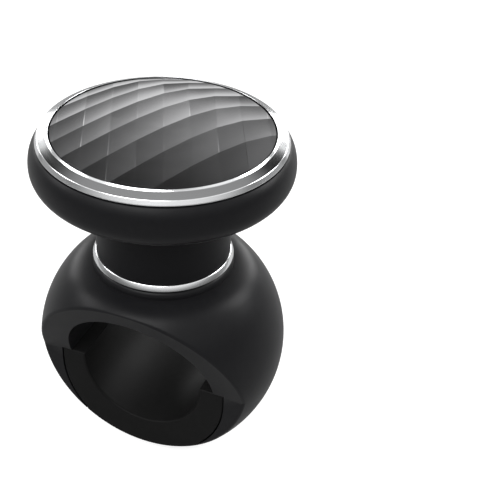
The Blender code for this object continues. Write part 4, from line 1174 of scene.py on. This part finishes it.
def hexagon_piece(name, across_flats, low, high, bore, both_ends):
    """A hexagon with its corners turned off at the top, or at both ends."""
    face = across_flats / 2 * HEX_FACE
    corner = across_flats / sqrt(3) + HEX_SPARE
    fall = (corner - face) * HEX_FALL
    start = [(face, low), (corner, low + fall)] if both_ends else [(corner, low)]
    blank = [(bore, low), *start, (corner, high - fall), (face, high), (bore, high)]
    piece = solid(name, upright(hexagon(across_flats), low, high))
    carve(piece, turn(blank, RING_AROUND), "INTERSECT")
    return piece


spindle = solid("axle", threaded(SPINDLE_RADIUS, HEAD_LOW + SHANK_START, SPINDLE_TOP, WASHER_LOW,
                                 SPINDLE_PITCH, 0, SPINDLE_LEAD, SPINDLE_AROUND))
head = hexagon_piece("head", HEAD_ACROSS_FLATS, HEAD_LOW, HEAD_TOP, 0, False)
joined = bmesh.new()
joined.from_mesh(head.data)
carve(spindle, joined, "UNION", Matrix())
remove(head)
fit(spindle, plated_steel, "steel", "base", "spindle")

spacer = ring(ON_SPINDLE, ON_SPINDLE + SPACER_WALL, SPACER_LOW, SPACER_LOW + SPACER_HEIGHT)
turned_ring("spacer", spacer, plated_steel, "steel", "base", "bearing_spacer")
washer = ring(ON_SPINDLE, ON_SPINDLE + WASHER_WALL, WASHER_LOW, WASHER_HIGH)
turned_ring("washer", washer, plated_steel, "steel", "base", "lock_washer")
nut = hexagon_piece("nut", NUT_ACROSS_FLATS, NUT_LOW, NUT_HIGH, ON_SPINDLE, True)
fit(nut, plated_steel, "steel", "base", "spindle_nut")

# %% [markdown]
# ## The bearing
#
# Two hardened rings with ground grooves hold seven balls, spaced by a brass band. Such rings are
# the brightest metal inside, and their corners are chamfered so that they press in cleanly.

# %% Rings, balls and cage
BEARING_RADIUS = 0.0110
PITCH_RADIUS = (SPINDLE_RADIUS + BEARING_RADIUS) / 2
LAND_STEP = 0.0015
BALL_SIZE = 0.001985       # its radius
GROOVE_SIZE = BALL_SIZE + SEAT_GAP
BALL_COUNT = 7
RACE_MIDDLE = (RACE_LOW + RACE_HIGH) / 2
CAGE_HALF = 0.0006         # half the cage's thickness
CAGE_RIM = 0.0005          # cage metal above and below a ball's pocket
CAGE_AROUND = 112
RACE_STEPS = 20
BALL_AROUND = 40
BALL_CREASE = radians(60)


def race_outline(plain, land):
    """A race with a plain side and a side with the ball's groove."""
    half = acos(abs(PITCH_RADIUS - land) / GROOVE_SIZE)
    middle = pi if land < PITCH_RADIUS else 0.0
    groove = arc(PITCH_RADIUS, RACE_MIDDLE, GROOVE_SIZE, GROOVE_SIZE, middle - half, middle + half,
                 RACE_STEPS)
    groove.sort(key=lambda point: point[1])
    return [(plain, RACE_LOW), (land, RACE_LOW), *groove, (land, RACE_HIGH), (plain, RACE_HIGH)]


turned_ring("inner_race", race_outline(ON_SPINDLE, PITCH_RADIUS - LAND_STEP), bearing_steel,
            "race", "base", "bearing_inner_race")
turned_ring("outer_race", race_outline(BEARING_RADIUS, PITCH_RADIUS + LAND_STEP), bearing_steel,
            "race", "knob", "bearing_outer_race", around=SLEEVE_AROUND)
pocket = BALL_SIZE + SEAT_GAP
cage_half_height = pocket + CAGE_RIM
cage = solid("cage", turn(soften(ring(
    PITCH_RADIUS - CAGE_HALF, PITCH_RADIUS + CAGE_HALF, RACE_MIDDLE - cage_half_height,
    RACE_MIDDLE + cage_half_height), MOULD_EDGE), CAGE_AROUND))
for index in range(BALL_COUNT):
    place = (Matrix.Rotation(tau * index / BALL_COUNT, 4, "Z")
             @ Matrix.Translation((PITCH_RADIUS, 0, RACE_MIDDLE)))
    lying = place @ Matrix.Rotation(pi / 2, 4, "Y")
    carve(cage, moved(peg(pocket, -HOLE_IN, HOLE_IN, 32), lying))
    half_circle = arc(0, 0, BALL_SIZE, BALL_SIZE, -pi / 2, pi / 2, BALL_AROUND // 2)
    half_circle[0], half_circle[-1] = (0, -BALL_SIZE), (0, BALL_SIZE)
    ball = solid(f"steel_ball_{index + 1}", moved(turn(half_circle, BALL_AROUND), place))
    fit(ball, bearing_steel, "race", "ball_set", f"bearing_ball_{index + 1}", crease=BALL_CREASE)
fit(cage, insert_brass, "brass", "ball_set", "ball_cage")

# %% [markdown]
# ## The retaining ring
#
# An open spring ring holds the bearing in the sleeve. It widens to an eye at each end, with a
# hole for the pliers.

# %% Retaining ring
RING_OPENING = radians(34)
EYE_ANGLE = radians(10)
EYE_HOLE = 0.0007
EYE_IN = 0.0017            # the hole's middle, in from the ring's outside
EYE_REACH = 1.6            # the eye's swelling starts this many eye angles from the end
CLIP_WIDTH = 0.0018
EYE_WIDTH = 0.0011         # what the eye adds to it
CLIP_STEPS = 140
clip_outer = CLIP_GROOVE - SEAT_GAP
clip_low = RACE_LOW - SEAT_GAP - CLIP_THICKNESS
clip_high = RACE_LOW - SEAT_GAP
begin = -pi / 2 + RING_OPENING / 2
span = tau - RING_OPENING
rows = []
for i in range(CLIP_STEPS + 1):
    angle = begin + span * i / CLIP_STEPS
    from_end = min(angle - begin, begin + span - angle)
    ease = min(1, max(0, EYE_REACH - from_end / EYE_ANGLE))
    inner = clip_outer - (CLIP_WIDTH + EYE_WIDTH * ease * ease * (3 - 2 * ease))
    rows.append([(r * cos(angle), r * sin(angle), z)
                 for r, z in soften(ring(inner, clip_outer, clip_low, clip_high), FINE_EDGE)])
clip = solid("spring_ring", stack(rows))
for angle in (begin + EYE_ANGLE / 2, begin + span - EYE_ANGLE / 2):
    hole = peg(EYE_HOLE, clip_low - OVERRUN, clip_high + OVERRUN, SCREW_HOLE_AROUND)
    place = Matrix.Rotation(angle, 4, "Z") @ Matrix.Translation((clip_outer - EYE_IN, 0, 0))
    carve(clip, moved(hole, place))
fit(clip, black_steel, "black_steel", "knob", "bearing_retaining_ring")

# %% [markdown]
# ## The sleeve's screws
#
# Three small pan-headed screws hold the sleeve's flange to the shell's floor. Each has a cross
# for the driver and a coarse thread for plastic.

# %% Sleeve screws
SLEEVE_PITCH = 0.0009
HEAD_RADIUS = 0.0022
HEAD_HEIGHT = 0.0011
HEAD_CROWN = 0.0005
HEAD_OVERLAP = 0.0002      # how far the threaded rod runs up into the head
SCREW_BITE = 0.0011        # how deep the tip goes into the shell's floor
SCREW_LEAD = 0.0005
CROSS_HALF = 0.0003
CROSS_REACH = 0.0013
CROSS_DEPTH = 0.0008


def cross(low, high):
    a, b = CROSS_HALF, CROSS_REACH
    return upright([(a, -b), (a, -a), (b, -a), (b, a), (a, a), (a, b), (-a, b), (-a, a), (-b, a),
                    (-b, -a), (-a, -a), (-a, -b)], low, high)


for index in range(SLEEVE_SCREW_COUNT):
    place = sleeve_screw_place(index, FLANGE_HIGH)
    tip = -FLANGE_THICKNESS - SEAT_GAP - SCREW_BITE
    screw = solid(f"pan_screw_{index + 1}", moved(threaded(
        SLEEVE_SCREW_RADIUS, tip, SEAT_GAP + HEAD_OVERLAP, -1, SLEEVE_PITCH, SCREW_LEAD, 0, 32),
        place))
    top = SEAT_GAP + HEAD_HEIGHT
    crown = arc(0, top - HEAD_CROWN, HEAD_RADIUS, HEAD_CROWN, 0, pi / 2, 8)
    crown[-1] = (0, top)
    pan = turn([(0, SEAT_GAP), (HEAD_RADIUS, SEAT_GAP), *crown], SMALL_AROUND)
    carve(screw, moved(pan, place), "UNION")
    carve(screw, moved(cross(top - CROSS_DEPTH, top + OVERRUN), place))
    fit(screw, plated_steel, "steel", "knob", f"sleeve_screw_{index + 1}")

# %% [markdown]
# ## The crown pad
#
# A rubber strip lines the top of the bore, so that the wheel's rim is gripped and not scratched.
# Fine ribs along the bore give it bite.

# %% Crown pad
RIB_COUNT = 17
RIB_DEPTH = 0.00022
RIB_POINTS = 8
PAD_CREASE = radians(40)


def ribbed_pad():
    outer = ARCH_RADIUS + PAD_THICKNESS
    out, into = asin(PAD_HALF_WIDTH / outer), asin(PAD_HALF_WIDTH / ARCH_RADIUS)
    upper = arc(0, -ARCH_DROP, outer, outer, pi / 2 - out, pi / 2 + out, BORE_STEPS)
    lower = []
    steps = RIB_COUNT * RIB_POINTS
    for i in range(steps + 1):
        a = pi / 2 + into - 2 * into * i / steps
        groove = RIB_DEPTH * (1 - cos(tau * i / RIB_POINTS)) / 2
        r = ARCH_RADIUS + groove
        lower.append((r * cos(a), r * sin(a) - ARCH_DROP))
    return [*upper, *lower]


pad = solid("ribbed_pad", along_y(ribbed_pad(), -PAD_HALF_LENGTH, PAD_HALF_LENGTH))
fit(pad, rubber, "rubber", "base", "crown_pad", crease=PAD_CREASE)

# %% [markdown]
# ## Pieces kept from the model
#
# The plate under the disc and its foam pad need no finer shape. Each keeps its solid and gets its
# finish, and a small geometry modifier shades round stretches smoothly and keeps corners crisp.

# %% Round shading
def make_round_shading():
    """A modifier tree: joins doubled points, shades faces smooth and keeps steep edges sharp."""
    tree = bpy.data.node_groups.new("round_shading", "GeometryNodeTree")
    for way in ("INPUT", "OUTPUT"):
        tree.interface.new_socket("Geometry", in_out=way, socket_type="NodeSocketGeometry")
    start = tree.nodes.new("NodeGroupInput")
    end = tree.nodes.new("NodeGroupOutput")
    merged = new_node(tree, "GeometryNodeMergeByDistance", Geometry=start.outputs[0],
                      Distance=1e-6)
    faces = new_node(tree, "GeometryNodeSetShadeSmooth", domain="FACE", i0=merged.outputs[0])
    faces.inputs["Shade Smooth"].default_value = True
    bend = tree.nodes.new("GeometryNodeInputMeshEdgeAngle")
    steep = new_node(tree, "FunctionNodeCompare", operation="GREATER_THAN",
                     i0=bend.outputs["Unsigned Angle"], i1=CREASE)
    edges = new_node(tree, "GeometryNodeSetShadeSmooth", domain="EDGE", i0=faces.outputs[0],
                     Selection=steep.outputs[0])
    edges.inputs["Shade Smooth"].default_value = False
    feed(end, Geometry=edges.outputs[0])
    return tree


round_shading = make_round_shading()


def dress(node_name, material):
    """Gives a kept node its finish and its shading."""
    node = nodes[node_name]
    if node.material_slots:
        for material_slot in node.material_slots:
            material_slot.material = material
    else:
        node.data.materials.append(material)
    node.modifiers.new("round_shading", "NODES").node_group = round_shading


FINISHES = {"disc_pad": foam, "disc_carrier": carrier_plastic}
for node_name, material in FINISHES.items():
    dress(node_name, material)
print("finishes given to", len(FINISHES), "nodes")
